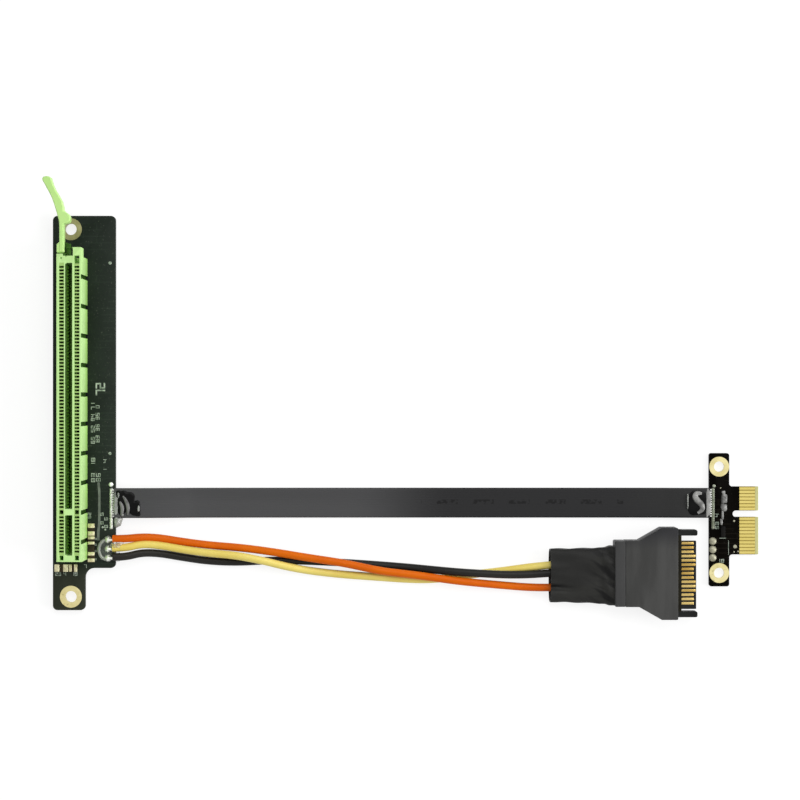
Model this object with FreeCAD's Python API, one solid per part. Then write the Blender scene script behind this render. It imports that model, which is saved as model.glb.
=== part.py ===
import FreeCAD, Part
import math
import os

# Riser for an expansion card: a slot board with a long card socket, an edge card that plugs
# into a short socket, a flat ribbon between them, and a three-wire power lead with its plug.
# All lengths are in millimetres. The origin is midway between the slot board's two mounting
# holes, on the board's underside. +X runs along the ribbon to the edge card, +Y runs along the
# socket to its latch, and +Z points up out of the socket.

# Slot board
board_foot = 15.16
board_head = 12.84
board_width = 18.6
board_thick = 1.6
board_corner_r = 1.4
tab_width = 9.6
tab_length = 12.5
tab_fillet_r = 2.8
hole_end = 4.0
hole_r = 1.7
hole_inset = 5.35
ring_r = 3.25
plating = 0.06

# Socket housing
slot_offset_x = 1.2
housing_width = 7.4
housing_height = 11.25
contact_pitch = 1.0
long_row_count = 71
short_row_count = 11
key_gap = 3.0
end_margin = 3.0
card_gap = 1.76
card_depth = 7.7
card_end_wall = 1.8
key_rib = 1.8
inner_wall = 0.62
outer_wall = 0.71
cell_width = 0.6
window_bottom = 2.6
window_rim = 1.65
key_cell = 1.2
window_slip = 0.1
end_cell_length = 2.3
end_cell_depth = 8.0
foot_cell_length = 1.4
groove_count = 10
groove_pitch = 8.6
groove_width = 1.16
groove_depth = 0.5
groove_rim = 0.6
peg_r = 1.2
peg_length = 1.3
peg_inset = 1.35
peg_clearance = 0.05

# Latch end of the socket
latch_step = 0.85
latch_gap = 0.35
end_block_length = 2.75
end_block_height = 3.6
pocket_width = 2.2
pocket_wall = 0.35
pocket_start = 0.3
end_block_r = 0.4
end_cell_over = 0.3
foot_cell_end = 0.4
dimple_r = 0.25
dimple_inset = 0.6
dimple_end = 0.4
shelf_height = 1.5
pivot_r = 0.6
pivot_clearance = 0.06
pivot_height = 5.0

# Retention latch
latch_drop = 0.4
latch_base_width = 2.6
latch_base_length = 3.3
latch_base_chamfer = 0.9
stem_width = 1.65
stem_length = 8.9
arm_height = 4.2
hook_reach = 2.05
hook_length = 3.4
handle_rise = 10.2
handle_sweep = 5.2
handle_width = 3.1
handle_overlap = 1.3
handle_root = 0.6
base_lift = 0.3
arm_lap = 0.1

# Contacts of the socket
contact_width = 0.5
contact_thick = 0.22
contact_overlap = 0.06
leg_rise = 2.9
lean_rise = 5.6
bow_rise = 7.8
lean_margin = 0.12
tip_margin = 0.25
tip_below_rim = 0.1
leg_outer = 2.72
leg_inner = 1.68
tail_r = 0.42
tail_tip_r = 0.16
tail_length = 0.95

# Chips beside and below the socket
chip_width = 2.0
chip_height = 0.9
chip_gap = 0.2
terminal_share = 0.36
terminal_step = 0.06
side_chip_lengths = (3.6, 2.4, 3.0)
diode_length = 1.8
side_chip_drop = 3.92
end_chip_lengths = (4.0, 2.5)
end_chip_width = 2.2
end_chip_offset = 1.5
end_chip_inset = 0.6

# Ribbon
ribbon_width = 8.9
ribbon_thick = 1.1
ribbon_from_end = 31.8
ribbon_lap_slot = 0.35
ribbon_lap_card = 0.2
ribbon_flat_slot = 8.0
ribbon_flat_card = 6.5
ribbon_slope = 19.0
conductor_count = 12
conductor_width = 0.36
conductor_thick = 0.2
conductor_length = 0.5
solder_length = 0.9
solder_height = 0.5

# Power lead
wire_d = 2.1
wire_lift = 0.1
core_r = 0.42
core_length = 1.5
wire_lap = 0.7
pad_pitch = 2.7
pad_from_end = 18.2
power_ball_r = 1.05
power_ball_rise = 0.45
power_tail_length = 0.7
power_tail_r = 0.42

# Hot-melt glue
glue_thick = 0.35
glue_lap = 0.7
glue_slot_length = 6.6
glue_card_length = 5.8
glue_card_offset = 0.7
glue_slot_offset = 0.4
glue_blob_length = 4.9
glue_blob_width = 7.6
glue_blob_height = 2.4
glue_blob_shift = -0.75
glue_margin = 0.05

# Heat-shrink sleeve
sleeve_length = 18.4
sleeve_wall = 0.5
sleeve_corner_r = 2.2
sleeve_mouth = (15.2, 5.2)
sleeve_middle = (15.6, 6.0)
sleeve_end = (17.0, 7.0)
sleeve_slant = 0.5
sleeve_lift = 0.05
sleeve_rise = (0.15, 0.5)
sleeve_gap = 0.02

# Power plug
plug_x = 161.0
plug_offset = -7.1
plug_height = 7.6
plug_box_width = 19.5
plug_wide_width = 27.1
cover_length = 3.1
plug_straight = 7.1
plug_slant_end = 13.8
plug_length = 18.6
plug_edge_r = 0.4
arm_length = 5.9
arm_thick = 1.7
arm_z_height = 4.4
arm_inner = 11.2
arm_end_r = 0.5
cover_inset = 0.05
tongue_length = 5.7
tongue_thick = 1.4
tongue_over = 9.6
tongue_under = 10.6
blade_count = 15
blade_pitch = 1.27
blade_width = 0.74
blade_thick = 0.2
blade_start = 1.0
blade_long = 4.45
blade_short = 3.9
long_blades = (3, 4, 5, 9, 10, 11)

# Edge card
edge_x = 192.5
edge_offset = -5.05
edge_thick = 1.6
edge_lift = 0.1
edge_left = 3.0
edge_tab_width = 6.0
edge_hole_spacing = 31.6
edge_hole_r = 1.55
edge_ring_r = 2.95
edge_end = 4.0
edge_reach = 11.7
edge_corner_r = 0.7
edge_fillet_r = 0.9
notch_offset = 1.8
notch_width = 1.9
notch_depth = 7.7
finger_pitch = 1.0
short_finger_count = 7
long_finger_count = 11
finger_first = 1.5
finger_margin = 0.6
finger_width = 0.7
finger_length = 4.6
finger_thick = 0.05
finger_setback = 1.1
bevel = 0.55
edge_pad_r = 1.15
edge_pad_height = 0.55
edge_pad_pitch = 2.47
edge_pad_x = -1.95
edge_pad_first = -6.35
edge_chip_length = 3.2
edge_chip_width = 1.3
edge_chip_height = 0.6
edge_chip_x = 1.1
edge_chip_y = -3.5

# Levels and lines that several pieces share
floor_z = -peg_length
housing_length = 2 * end_margin + (long_row_count + short_row_count - 2) * contact_pitch + key_gap
board_length = housing_length + board_foot + board_head
hole_spacing = board_length - 2 * hole_end
slot_offset_y = (board_foot - board_head) / 2
board_left = -hole_inset
board_right = board_left + board_width
board_top_y = board_length / 2
board_bottom_y = -board_length / 2
tab_right = board_left + tab_width
tab_top_y = board_bottom_y + tab_length
ribbon_y = board_bottom_y + ribbon_from_end
pad_middle_y = board_bottom_y + pad_from_end
plug_y = pad_middle_y + plug_offset
edge_y = ribbon_y + edge_offset

housing_left = slot_offset_x - housing_width / 2
housing_right = slot_offset_x + housing_width / 2
housing_top_y = slot_offset_y + housing_length / 2
housing_bottom_y = slot_offset_y - housing_length / 2
housing_top_z = board_thick + housing_height
cell_inner = card_gap / 2 + inner_wall
cell_outer = housing_width / 2 - outer_wall
first_contact_y = housing_top_y - end_margin
key_y = first_contact_y - (long_row_count - 1) * contact_pitch - key_gap / 2

latch_right = housing_left + latch_base_width
latch_x = housing_left + latch_base_width / 2
latch_bottom_y = housing_top_y + latch_step + latch_gap
pivot_y = latch_bottom_y + latch_base_length / 2
latch_top_z = housing_top_z - latch_drop
shelf_top_z = board_thick + shelf_height
hook_y = latch_bottom_y + latch_base_length + stem_length - hook_length

edge_low_z = floor_z + edge_lift
edge_top_z = edge_low_z + edge_thick
edge_left_x = edge_x - edge_left
edge_right_x = edge_x + edge_reach
notch_y = edge_y + notch_offset
short_tongue = finger_first - notch_width / 2 + (short_finger_count - 1) * finger_pitch + finger_margin
long_tongue = finger_first - notch_width / 2 + (long_finger_count - 1) * finger_pitch + finger_margin
tongue_top_y = notch_y + notch_width / 2 + short_tongue
tongue_bottom_y = notch_y - notch_width / 2 - long_tongue

plug_middle_z = floor_z + plug_height / 2
plug_front_x = plug_x + plug_length
wire_start_x = board_right - wire_lap
wire_start_z = board_thick + wire_d / 2 + wire_lift

# Routes of the three wires from the slot board to the plug, resting on the bench and crossing
# over each other, with Y counted from the middle pad. The first point of each takes its place
# from the board, the last from the plug.
orange_route = (
    (20.8, 3.1, 1.8), (26.0, 2.9, 0.6), (32.5, 1.7, -0.1), (41.0, 0.3, -0.2),
    (50.5, -0.2, 0.2), (60.5, -1.3, 1.3), (70.4, -2.6, 2.05), (81.3, -4.0, 2.15),
    (91.7, -6.1, 2.15), (100.0, -7.2, 2.3), (107.1, -8.3, 3.1), (113.9, -9.4, 3.9),
    (121.4, -10.2, 2.6), (129.4, -11.1, 0.5), (136.9, -11.7, 0.3), (145.2, -11.5, 0.9),
    (151.6, -10.4, 1.9),
)
yellow_route = (
    (20.9, 0.7, 2.1), (26.2, 0.1, 1.5), (32.6, -1.2, 1.35), (40.6, -2.1, 1.75),
    (48.7, -2.6, 2.05), (56.7, -3.9, 2.2), (63.5, -5.4, 1.15), (70.3, -6.6, -0.1),
    (79.8, -7.7, -0.2), (91.1, -8.6, -0.15), (100.0, -8.8, -0.2), (107.2, -8.5, 0.4),
    (114.0, -7.9, 1.75), (121.3, -7.1, 2.35), (128.8, -6.3, 1.3), (135.7, -5.5, 0.6),
    (143.9, -4.7, 1.0), (151.2, -4.5, 1.9),
)
black_route = (
    (20.9, -2.3, 1.9), (26.2, -2.6, 0.7), (32.6, -3.4, -0.1), (40.5, -3.9, -0.2),
    (49.5, -4.1, -0.15), (59.5, -3.5, -0.2), (69.7, -3.7, -0.15), (80.4, -4.3, -0.2),
    (91.1, -5.1, -0.15), (101.2, -5.7, -0.2), (111.0, -6.4, -0.15), (120.8, -7.6, -0.2),
    (128.9, -8.2, 0.0), (136.3, -7.9, 0.3), (144.6, -7.8, 0.9), (151.4, -7.3, 1.9),
)
wire_end_spread = 2.5
wire_lead_out = 3.7
wire_lead_in = 4.2


def box(x0, x1, y0, y1, z0, z1):
    """Box between two corners."""
    corner = FreeCAD.Vector(x0, y0, z0)
    return Part.makeBox(x1 - x0, y1 - y0, z1 - z0, corner)


def rod(x, y, z0, z1, r):
    """Upright cylinder from z0 to z1."""
    return Part.makeCylinder(r, z1 - z0, FreeCAD.Vector(x, y, z0))


def prism(points, z0, z1):
    """Upright prism over a closed outline of (x, y) points."""
    corners = [FreeCAD.Vector(x, y, z0) for x, y in points]
    face = Part.Face(Part.makePolygon(corners + corners[:1]))
    return face.extrude(FreeCAD.Vector(0, 0, z1 - z0))


def side_prism(points, y0, y1):
    """Prism along Y over a closed outline of (x, z) points."""
    corners = [FreeCAD.Vector(x, y0, z) for x, z in points]
    face = Part.Face(Part.makePolygon(corners + corners[:1]))
    return face.extrude(FreeCAD.Vector(0, y1 - y0, 0))


def upright_edges(shape, corners):
    """The shape's vertical edges that stand at the given (x, y) corners."""
    found = []
    for edge in shape.Edges:
        start = edge.Vertexes[0].Point
        end = edge.Vertexes[-1].Point
        if abs(start.x - end.x) > 1e-6 or abs(start.y - end.y) > 1e-6:
            continue
        if any(abs(start.x - x) < 1e-4 and abs(start.y - y) < 1e-4 for x, y in corners):
            found.append(edge)
    return found


def rounded_upright(shape, corners, radius):
    """The shape with the vertical edges at the corners rounded."""
    return shape.makeFillet(radius, upright_edges(shape, corners))


def save(node, solids):
    """Write one node's solids to its own file."""
    shape = solids[0] if len(solids) == 1 else Part.makeCompound(solids)
    shape.exportStep(os.path.join("parts", node + ".step"))


def route_wire(points):
    """Straight runs joined by tangent arcs, each as large as its two runs allow, and the radii."""
    edges = []
    radii = []
    start = points[0]
    for before, corner, after in zip(points[:-2], points[1:-1], points[2:]):
        towards = (before - corner).normalize()
        away = (after - corner).normalize()
        reach = 0.45 * min((before - corner).Length, (after - corner).Length)
        half_turn = (math.pi - towards.getAngle(away)) / 2
        radius = reach / math.tan(half_turn)
        to_centre = (towards + away).normalize()
        middle = corner + to_centre * (radius / math.cos(half_turn) - radius)
        arc_start = corner + towards * reach
        arc_end = corner + away * reach
        edges.append(Part.LineSegment(start, arc_start).toShape())
        edges.append(Part.Arc(arc_start, middle, arc_end).toShape())
        radii.append(radius)
        start = arc_end
    edges.append(Part.LineSegment(start, points[-1]).toShape())
    return Part.Wire(edges), radii


def swept(node, profile, points):
    """The profile swept along a route, with the route's bends and volume printed."""
    path, radii = route_wire(points)
    solid = path.makePipeShell([profile], True, False)
    section = Part.Face(profile).Area
    share = solid.Volume / (section * path.Length)
    print(f"{node}: length {path.Length:.1f} mm, tightest bend {min(radii):.1f} mm, volume share {share:.4f}")
    return solid


def plated_hole(x, y, z0, z1, bore_r, pad_r):
    """Plated hole: a barrel through the board with a flat ring on each face."""
    barrel = rod(x, y, z0 - plating, z1 + plating, bore_r + plating)
    rings = barrel.fuse(rod(x, y, z1, z1 + plating, pad_r))
    rings = rings.fuse(rod(x, y, z0 - plating, z0, pad_r))
    return rings.cut(rod(x, y, z0 - 2 * plating, z1 + 2 * plating, bore_r))


def contact_rows():
    """Y of each contact, counted from the latch end."""
    rows = [first_contact_y - i * contact_pitch for i in range(long_row_count)]
    short_start = rows[-1] - key_gap
    return rows + [short_start - i * contact_pitch for i in range(short_row_count)]


def peg_places():
    """Centres of the housing's two locating pegs."""
    return [(slot_offset_x, y) for y in (housing_top_y - peg_inset, housing_bottom_y + peg_inset)]


def make_slot_board():
    outline = [
        (board_left, board_bottom_y), (tab_right, board_bottom_y), (tab_right, tab_top_y),
        (board_right, tab_top_y), (board_right, board_top_y), (board_left, board_top_y),
    ]
    board = prism(outline, 0, board_thick)
    outer = [outline[i] for i in (0, 1, 3, 4, 5)]
    board = rounded_upright(board, outer, board_corner_r)
    board = rounded_upright(board, [outline[2]], tab_fillet_r)
    holes = [rod(0, s * hole_spacing / 2, -1, board_thick + 1, hole_r + plating) for s in (-1, 1)]
    holes += [rod(x, y, -1, board_thick + 1, peg_r + peg_clearance) for x, y in peg_places()]
    return board.cut(holes)


def contact_cells():
    """Pockets for the contacts, each open to the card slot through a window below the rim."""
    z0 = board_thick - 1
    window_z0 = board_thick + window_bottom
    window_z1 = housing_top_z - window_rim
    z1 = housing_top_z + 1
    window_u = card_gap / 2 - window_slip
    cells = []
    for side in (-1, 1):
        profile = [
            (cell_inner, z0), (cell_outer, z0), (cell_outer, z1), (cell_inner, z1),
            (cell_inner, window_z1), (window_u, window_z1),
            (window_u, window_z0), (cell_inner, window_z0),
        ]
        points = [(slot_offset_x + side * u, z) for u, z in profile]
        for y in contact_rows():
            cells.append(side_prism(points, y - cell_width / 2, y + cell_width / 2))
    return cells


def make_slot_housing():
    body = box(housing_left, housing_right, housing_bottom_y, housing_top_y, board_thick, housing_top_z)
    step_top_y = housing_top_y + latch_step
    step = box(housing_left, latch_right, housing_top_y, step_top_y, board_thick, housing_top_z)
    block_top_y = housing_top_y + end_block_length
    block_z = housing_top_z - end_block_height
    block_left = latch_right + latch_gap
    block = box(block_left, housing_right, housing_top_y, block_top_y, block_z, housing_top_z)
    block = rounded_upright(block, [(housing_right, block_top_y)], end_block_r)
    shelf_end_y = pivot_y + latch_base_length / 2
    shelf = box(housing_left, latch_right, step_top_y, shelf_end_y, board_thick, shelf_top_z)
    pivot = rod(latch_x, pivot_y, board_thick, shelf_top_z + pivot_height, pivot_r)
    pegs = [rod(x, y, floor_z, board_thick + 1, peg_r) for x, y in peg_places()]
    housing = body.fuse([step, block, shelf, pivot] + pegs)

    slot_x0 = slot_offset_x - card_gap / 2
    slot_x1 = slot_offset_x + card_gap / 2
    slot_z = housing_top_z - card_depth
    top = housing_top_z + 1
    cuts = [
        box(slot_x0, slot_x1, key_y + key_rib / 2, housing_top_y - card_end_wall, slot_z, top),
        box(slot_x0, slot_x1, housing_bottom_y + card_end_wall, key_y - key_rib / 2, slot_z, top),
    ]
    pocket_x0 = slot_offset_x - pocket_width / 2
    pocket_y1 = block_top_y - pocket_wall
    pocket_y0 = housing_top_y + pocket_start
    cuts.append(box(pocket_x0, pocket_x0 + pocket_width, pocket_y0, pocket_y1, block_z - 1, top))
    cell_x0 = slot_offset_x + cell_inner
    cell_x1 = slot_offset_x + cell_outer
    end_cell_y = housing_top_y - end_cell_length + end_cell_over
    cuts.append(box(cell_x0, cell_x1, end_cell_y, end_cell_y + end_cell_length, top - end_cell_depth, top))
    dimple_x = slot_offset_x - cell_outer + dimple_inset
    cuts.append(rod(dimple_x, housing_top_y - dimple_end, top - 2, top, dimple_r))
    for side in (-1, 1):
        middle = slot_offset_x + side * (cell_inner + cell_outer) / 2
        half = key_cell / 2
        cuts.append(box(middle - half, middle + half, key_y - half, key_y + half, slot_z, top))
        foot_y = housing_bottom_y + foot_cell_end
        cuts.append(box(middle - half, middle + half, foot_y, foot_y + foot_cell_length, slot_z, top))
        for i in range(groove_count):
            y = slot_offset_y + (i - (groove_count - 1) / 2) * groove_pitch
            wall = slot_offset_x + side * housing_width / 2
            x0, x1 = sorted((wall - side * groove_depth, wall + side))
            half_groove = groove_width / 2
            groove_z = housing_top_z - groove_rim
            cuts.append(box(x0, x1, y - half_groove, y + half_groove, board_thick - 1, groove_z))
    return housing.cut(cuts + contact_cells())


def make_latch():
    """Latch on a pivot: a base block, a slim arm, a hook over the card's plane and a bent handle."""
    base_z = shelf_top_z + base_lift
    arm_z = latch_top_z - arm_height
    base_top_y = latch_bottom_y + latch_base_length
    arm_left = latch_right - stem_width
    arm_end_y = base_top_y + stem_length
    base = prism([
        (housing_left, latch_bottom_y), (latch_right, latch_bottom_y), (latch_right, base_top_y),
        (arm_left, base_top_y), (housing_left, base_top_y - latch_base_chamfer),
    ], base_z, latch_top_z)
    arm = box(arm_left, latch_right, base_top_y - arm_lap, arm_end_y, arm_z, latch_top_z)
    hook_root_x = latch_right - arm_lap
    hook_end_x = latch_right + hook_reach
    hook = prism([
        (hook_root_x, hook_y), (latch_right + 0.45 * hook_reach, hook_y + 0.05),
        (latch_right + 0.9 * hook_reach, hook_y + 0.45), (hook_end_x, hook_y + 1.1),
        (hook_end_x, hook_y + 0.7 * hook_length),
        (latch_right + 0.75 * hook_reach, hook_y + 0.88 * hook_length),
        (hook_root_x, hook_y + hook_length),
    ], arm_z, latch_top_z)
    left_points = [
        (arm_left, arm_end_y - handle_overlap), (arm_left - 0.25 * handle_sweep, arm_end_y + 0.2 * handle_rise),
        (arm_left - 0.62 * handle_sweep, arm_end_y + 0.6 * handle_rise),
        (arm_left - handle_sweep, arm_end_y + 0.88 * handle_rise),
    ]
    right_points = [
        (left_points[-1][0] + 0.92 * handle_width, arm_end_y + 0.94 * handle_rise),
        (left_points[-2][0] + 0.96 * handle_width, arm_end_y + 0.5 * handle_rise),
        (left_points[-3][0] + 0.84 * handle_width, arm_end_y + 0.2 * handle_rise),
        (latch_right, arm_end_y - handle_root),
    ]
    left = [FreeCAD.Vector(x, y, arm_z) for x, y in left_points]
    right = [FreeCAD.Vector(x, y, arm_z) for x, y in right_points]
    left_curve = Part.BSplineCurve()
    left_curve.interpolate(left)
    right_curve = Part.BSplineCurve()
    right_curve.interpolate(right)
    tip = (left[-1] + right[0]) * 0.5 + FreeCAD.Vector(-0.05, 0.3 * handle_width, 0)
    outline = Part.Wire([
        left_curve.toShape(), Part.Arc(left[-1], tip, right[0]).toShape(), right_curve.toShape(),
        Part.LineSegment(right[-1], left[0]).toShape(),
    ])
    handle = Part.Face(outline).extrude(FreeCAD.Vector(0, 0, arm_height))
    latch = base.fuse([arm, hook, handle]).removeSplitter()
    bore_top_z = shelf_top_z + pivot_height + base_lift
    return latch.cut(rod(latch_x, pivot_y, base_z - 1, bore_top_z, pivot_r + pivot_clearance))


def contact(side, y, leg):
    """Sprung contact: a leg on the board, a lean to the slot, a bow that meets the card, a tip."""
    low = board_thick
    bow = card_gap / 2 - contact_overlap - contact_thick
    tip_z = housing_top_z - window_rim + tip_below_rim
    inner_edge = [
        (leg, low), (leg, low + leg_rise), (cell_inner + lean_margin, low + lean_rise),
        (bow, low + bow_rise), (cell_inner + tip_margin, tip_z),
    ]
    outer_edge = [(u + contact_thick, z) for u, z in reversed(inner_edge)]
    points = [(slot_offset_x + side * u, z) for u, z in inner_edge + outer_edge]
    return side_prism(points, y - contact_width / 2, y + contact_width / 2)


def make_contacts():
    """The contacts of both rows and the solder joints under the board, with staggered legs."""
    rows = {-1: [], 1: []}
    tails = []
    for side in (-1, 1):
        for i, y in enumerate(contact_rows()):
            leg = leg_outer if (i + (side > 0)) % 2 else leg_inner
            rows[side].append(contact(side, y, leg))
            x = slot_offset_x + side * (leg + contact_thick / 2)
            foot = FreeCAD.Vector(x, y, -tail_length)
            tails.append(Part.makeCone(tail_tip_r, tail_r, tail_length, foot))
    return rows[-1], rows[1], tails


def chip(x0, x1, y0, y1, along_x):
    """Chip capacitor lying on the board: its dark body and its two metal ends."""
    z1 = board_thick + chip_height
    length = x1 - x0 if along_x else y1 - y0
    end = terminal_share * length
    top = z1 + terminal_step
    if along_x:
        body = box(x0 + end, x1 - end, y0, y1, board_thick, z1)
        ends = [box(x0, x0 + end, y0, y1, board_thick, top), box(x1 - end, x1, y0, y1, board_thick, top)]
    else:
        body = box(x0, x1, y0 + end, y1 - end, board_thick, z1)
        ends = [box(x0, x1, y0, y0 + end, board_thick, top), box(x0, x1, y1 - end, y1, board_thick, top)]
    return body, ends


def make_chips():
    bodies = []
    ends = []
    x0 = housing_right + chip_gap
    y = key_y - side_chip_drop
    diode = None
    for i, length in enumerate(side_chip_lengths):
        if i == 2:
            diode = box(x0, x0 + chip_width, y - diode_length, y, board_thick, board_thick + chip_height)
            y -= diode_length + chip_gap
        body, terminals = chip(x0, x0 + chip_width, y - length, y, False)
        bodies.append(body)
        ends += terminals
        y -= length + chip_gap
    x = board_left + end_chip_inset
    y1 = housing_bottom_y - end_chip_offset
    for length in end_chip_lengths:
        body, terminals = chip(x, x + length, y1 - end_chip_width, y1, True)
        bodies.append(body)
        ends += terminals
        x += length + chip_gap
    return bodies, ends, diode


def make_ribbon():
    """Flat ribbon: off the slot board, down to the bench, straight on and up to the edge card."""
    half = ribbon_thick / 2
    slot_z = board_thick + half
    card_z = edge_top_z + half
    low_z = floor_z + half
    start = board_right - ribbon_lap_slot
    end = edge_left_x + ribbon_lap_card
    stations = [
        (start, slot_z), (start + ribbon_flat_slot, slot_z),
        (start + ribbon_flat_slot + 0.5 * ribbon_slope, (slot_z + low_z) / 2 + 0.3),
        (start + ribbon_flat_slot + ribbon_slope, low_z),
        (end - ribbon_flat_card - 0.6 * ribbon_slope, low_z), (end - ribbon_flat_card, card_z), (end, card_z),
    ]
    points = [FreeCAD.Vector(x, ribbon_y, z) for x, z in stations]
    flat = ribbon_width / 2 - half
    top_left = FreeCAD.Vector(start, ribbon_y - flat, slot_z + half)
    top_right = FreeCAD.Vector(start, ribbon_y + flat, slot_z + half)
    low_right = FreeCAD.Vector(start, ribbon_y + flat, slot_z - half)
    low_left = FreeCAD.Vector(start, ribbon_y - flat, slot_z - half)
    right_end = FreeCAD.Vector(start, ribbon_y + ribbon_width / 2, slot_z)
    left_end = FreeCAD.Vector(start, ribbon_y - ribbon_width / 2, slot_z)
    profile = Part.Wire([
        Part.LineSegment(top_left, top_right).toShape(), Part.Arc(top_right, right_end, low_right).toShape(),
        Part.LineSegment(low_right, low_left).toShape(), Part.Arc(low_left, left_end, top_left).toShape(),
    ])
    return swept("ribbon_cable", profile, points)


def conductor_lines():
    """Y of each of the ribbon's conductors."""
    pitch = (ribbon_width - ribbon_thick) / (conductor_count - 1)
    return [ribbon_y + (i - (conductor_count - 1) / 2) * pitch for i in range(conductor_count)]


def ribbon_joint(jacket_x, direction, board_z):
    """Bare conductors out of the jacket's end and the solder joint that each one meets."""
    conductors = []
    joints = []
    lift = ribbon_thick / 2 - conductor_thick / 2
    bare_x = jacket_x + direction * conductor_length
    far_x = bare_x + direction * solder_length
    for y in conductor_lines():
        x0, x1 = sorted((jacket_x, bare_x))
        z0 = board_z + lift
        half = conductor_width / 2
        conductors.append(box(x0, x1, y - half, y + half, z0, z0 + conductor_thick))
        wide = half + 0.1
        points = [
            (bare_x, board_z), (bare_x, board_z + ribbon_thick * 0.7),
            (bare_x + direction * solder_length * 0.4, board_z + solder_height), (far_x, board_z),
        ]
        joints.append(side_prism(points, y - wide, y + wide))
    return conductors, joints


def wire_solid(node, route, pad_offset, end_offset):
    """Insulated wire from the slot board, along its route and into the plug's back face."""
    start = FreeCAD.Vector(wire_start_x, pad_middle_y + pad_offset, wire_start_z)
    end = FreeCAD.Vector(plug_x, plug_y + end_offset, plug_middle_z)
    points = [start, start + FreeCAD.Vector(wire_lead_out, 0, 0)]
    points += [FreeCAD.Vector(x, pad_middle_y + y, z) for x, y, z in route]
    points += [end - FreeCAD.Vector(wire_lead_in, 0, 0), end]
    circle = Part.Circle(start, FreeCAD.Vector(1, 0, 0), wire_d / 2)
    return swept(node, Part.Wire([circle.toShape()]), points)


def make_power_joints():
    """Bare wire ends and the solder joint on each power pad."""
    cores = []
    joints = []
    for side in (1, 0, -1):
        y = pad_middle_y + side * pad_pitch
        x = wire_start_x - core_length
        ball = Part.makeSphere(power_ball_r, FreeCAD.Vector(x, y, board_thick + power_ball_rise))
        ball = ball.common(box(x - 3, x + 3, y - 3, y + 3, board_thick, board_thick + 5))
        foot = FreeCAD.Vector(x, y, -power_tail_length)
        tail = Part.makeCone(power_tail_r, 2 * power_tail_r, power_tail_length, foot)
        start = FreeCAD.Vector(x, y, wire_start_z)
        core = Part.makeCylinder(core_r, core_length, start, FreeCAD.Vector(1, 0, 0))
        cores.append(core.cut(ball))
        joints += [ball, tail]
    return cores, joints


def glue_patch(x0, x1, z):
    """Thin patch of set glue over the ribbon's end, with an uneven far edge."""
    half = ribbon_width / 2 - glue_lap
    step = (x1 - x0) / 6
    outline = [
        (x0, ribbon_y - half), (x1 - step, ribbon_y - half), (x1, ribbon_y - 0.3 * half),
        (x1 - 0.6 * step, ribbon_y + 0.35 * half), (x1 - 2 * step, ribbon_y + half), (x0, ribbon_y + half),
    ]
    return prism(outline, z, z + glue_thick)


def make_glue_blob(wires, cores, joints):
    """Domed blob of clear glue over the power joints."""
    length = glue_blob_length / 2
    width = glue_blob_width / 2
    ball = Part.makeSphere(1.0)
    stretch = FreeCAD.Matrix()
    stretch.scale(length, width, glue_blob_height)
    dome = ball.transformGeometry(stretch)
    dome.translate(FreeCAD.Vector(wire_start_x - core_length + glue_blob_shift, pad_middle_y, board_thick))
    top = board_thick + 2 * glue_blob_height
    above = box(board_left, board_right - glue_margin, tab_top_y, board_top_y, board_thick, top)
    return dome.common(above).cut(wires + cores + joints)


def sleeve_ring(x, size, centre_z, inset, slant):
    """Rounded rectangle across X, its lower edge leaning out by the slant."""
    lean = slant / (size[1] / 2)
    half_w = size[0] / 2 - inset
    half_h = size[1] / 2 - inset
    r = min(sleeve_corner_r, 0.8 * size[1] / 2) - inset
    arc = r * math.sqrt(0.5)

    def point(u, v):
        return FreeCAD.Vector(x + lean * v, plug_y + u, centre_z + v)

    w = half_w - r
    h = half_h - r
    edges = []
    for a, b in ((1, 1), (-1, 1), (-1, -1), (1, -1)):
        along = [point(a * half_w, b * h), point(a * (w + arc), b * (h + arc)), point(a * w, b * half_h)]
        if a * b < 0:
            along.reverse()
        edges.append(Part.Arc(*along).toShape())
    edges_closed = []
    for i, edge in enumerate(edges):
        following = edges[(i + 1) % 4]
        edges_closed.append(edge)
        edges_closed.append(Part.LineSegment(edge.valueAt(edge.LastParameter),
                                             following.valueAt(following.FirstParameter)).toShape())
    return Part.Wire(edges_closed)


def make_sleeve():
    """Shrunk sleeve around the wires, flatter at its mouth and widest against the plug."""
    x1 = plug_x - sleeve_gap
    x0 = x1 - sleeve_length
    stations = [
        (x0, sleeve_mouth, floor_z + sleeve_mouth[1] / 2 + sleeve_lift, sleeve_slant),
        (x0 + 0.45 * sleeve_length, sleeve_middle, floor_z + sleeve_middle[1] / 2 + sleeve_rise[0], 0.0),
        (x0 + 0.8 * sleeve_length, sleeve_middle, floor_z + sleeve_middle[1] / 2 + sleeve_rise[1], 0.0),
        (x1, sleeve_end, plug_middle_z, 0.0),
    ]
    outer = [sleeve_ring(x, size, z, 0.0, slant) for x, size, z, slant in stations]
    inner = [sleeve_ring(x, size, z, sleeve_wall, slant) for x, size, z, slant in stations]
    over = 0.5
    inner.insert(0, inner[0].translated(FreeCAD.Vector(-over, 0, 0)))
    inner.append(inner[-1].translated(FreeCAD.Vector(over, 0, 0)))
    return Part.makeLoft(outer, True, True).cut(Part.makeLoft(inner, True, True))


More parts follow.
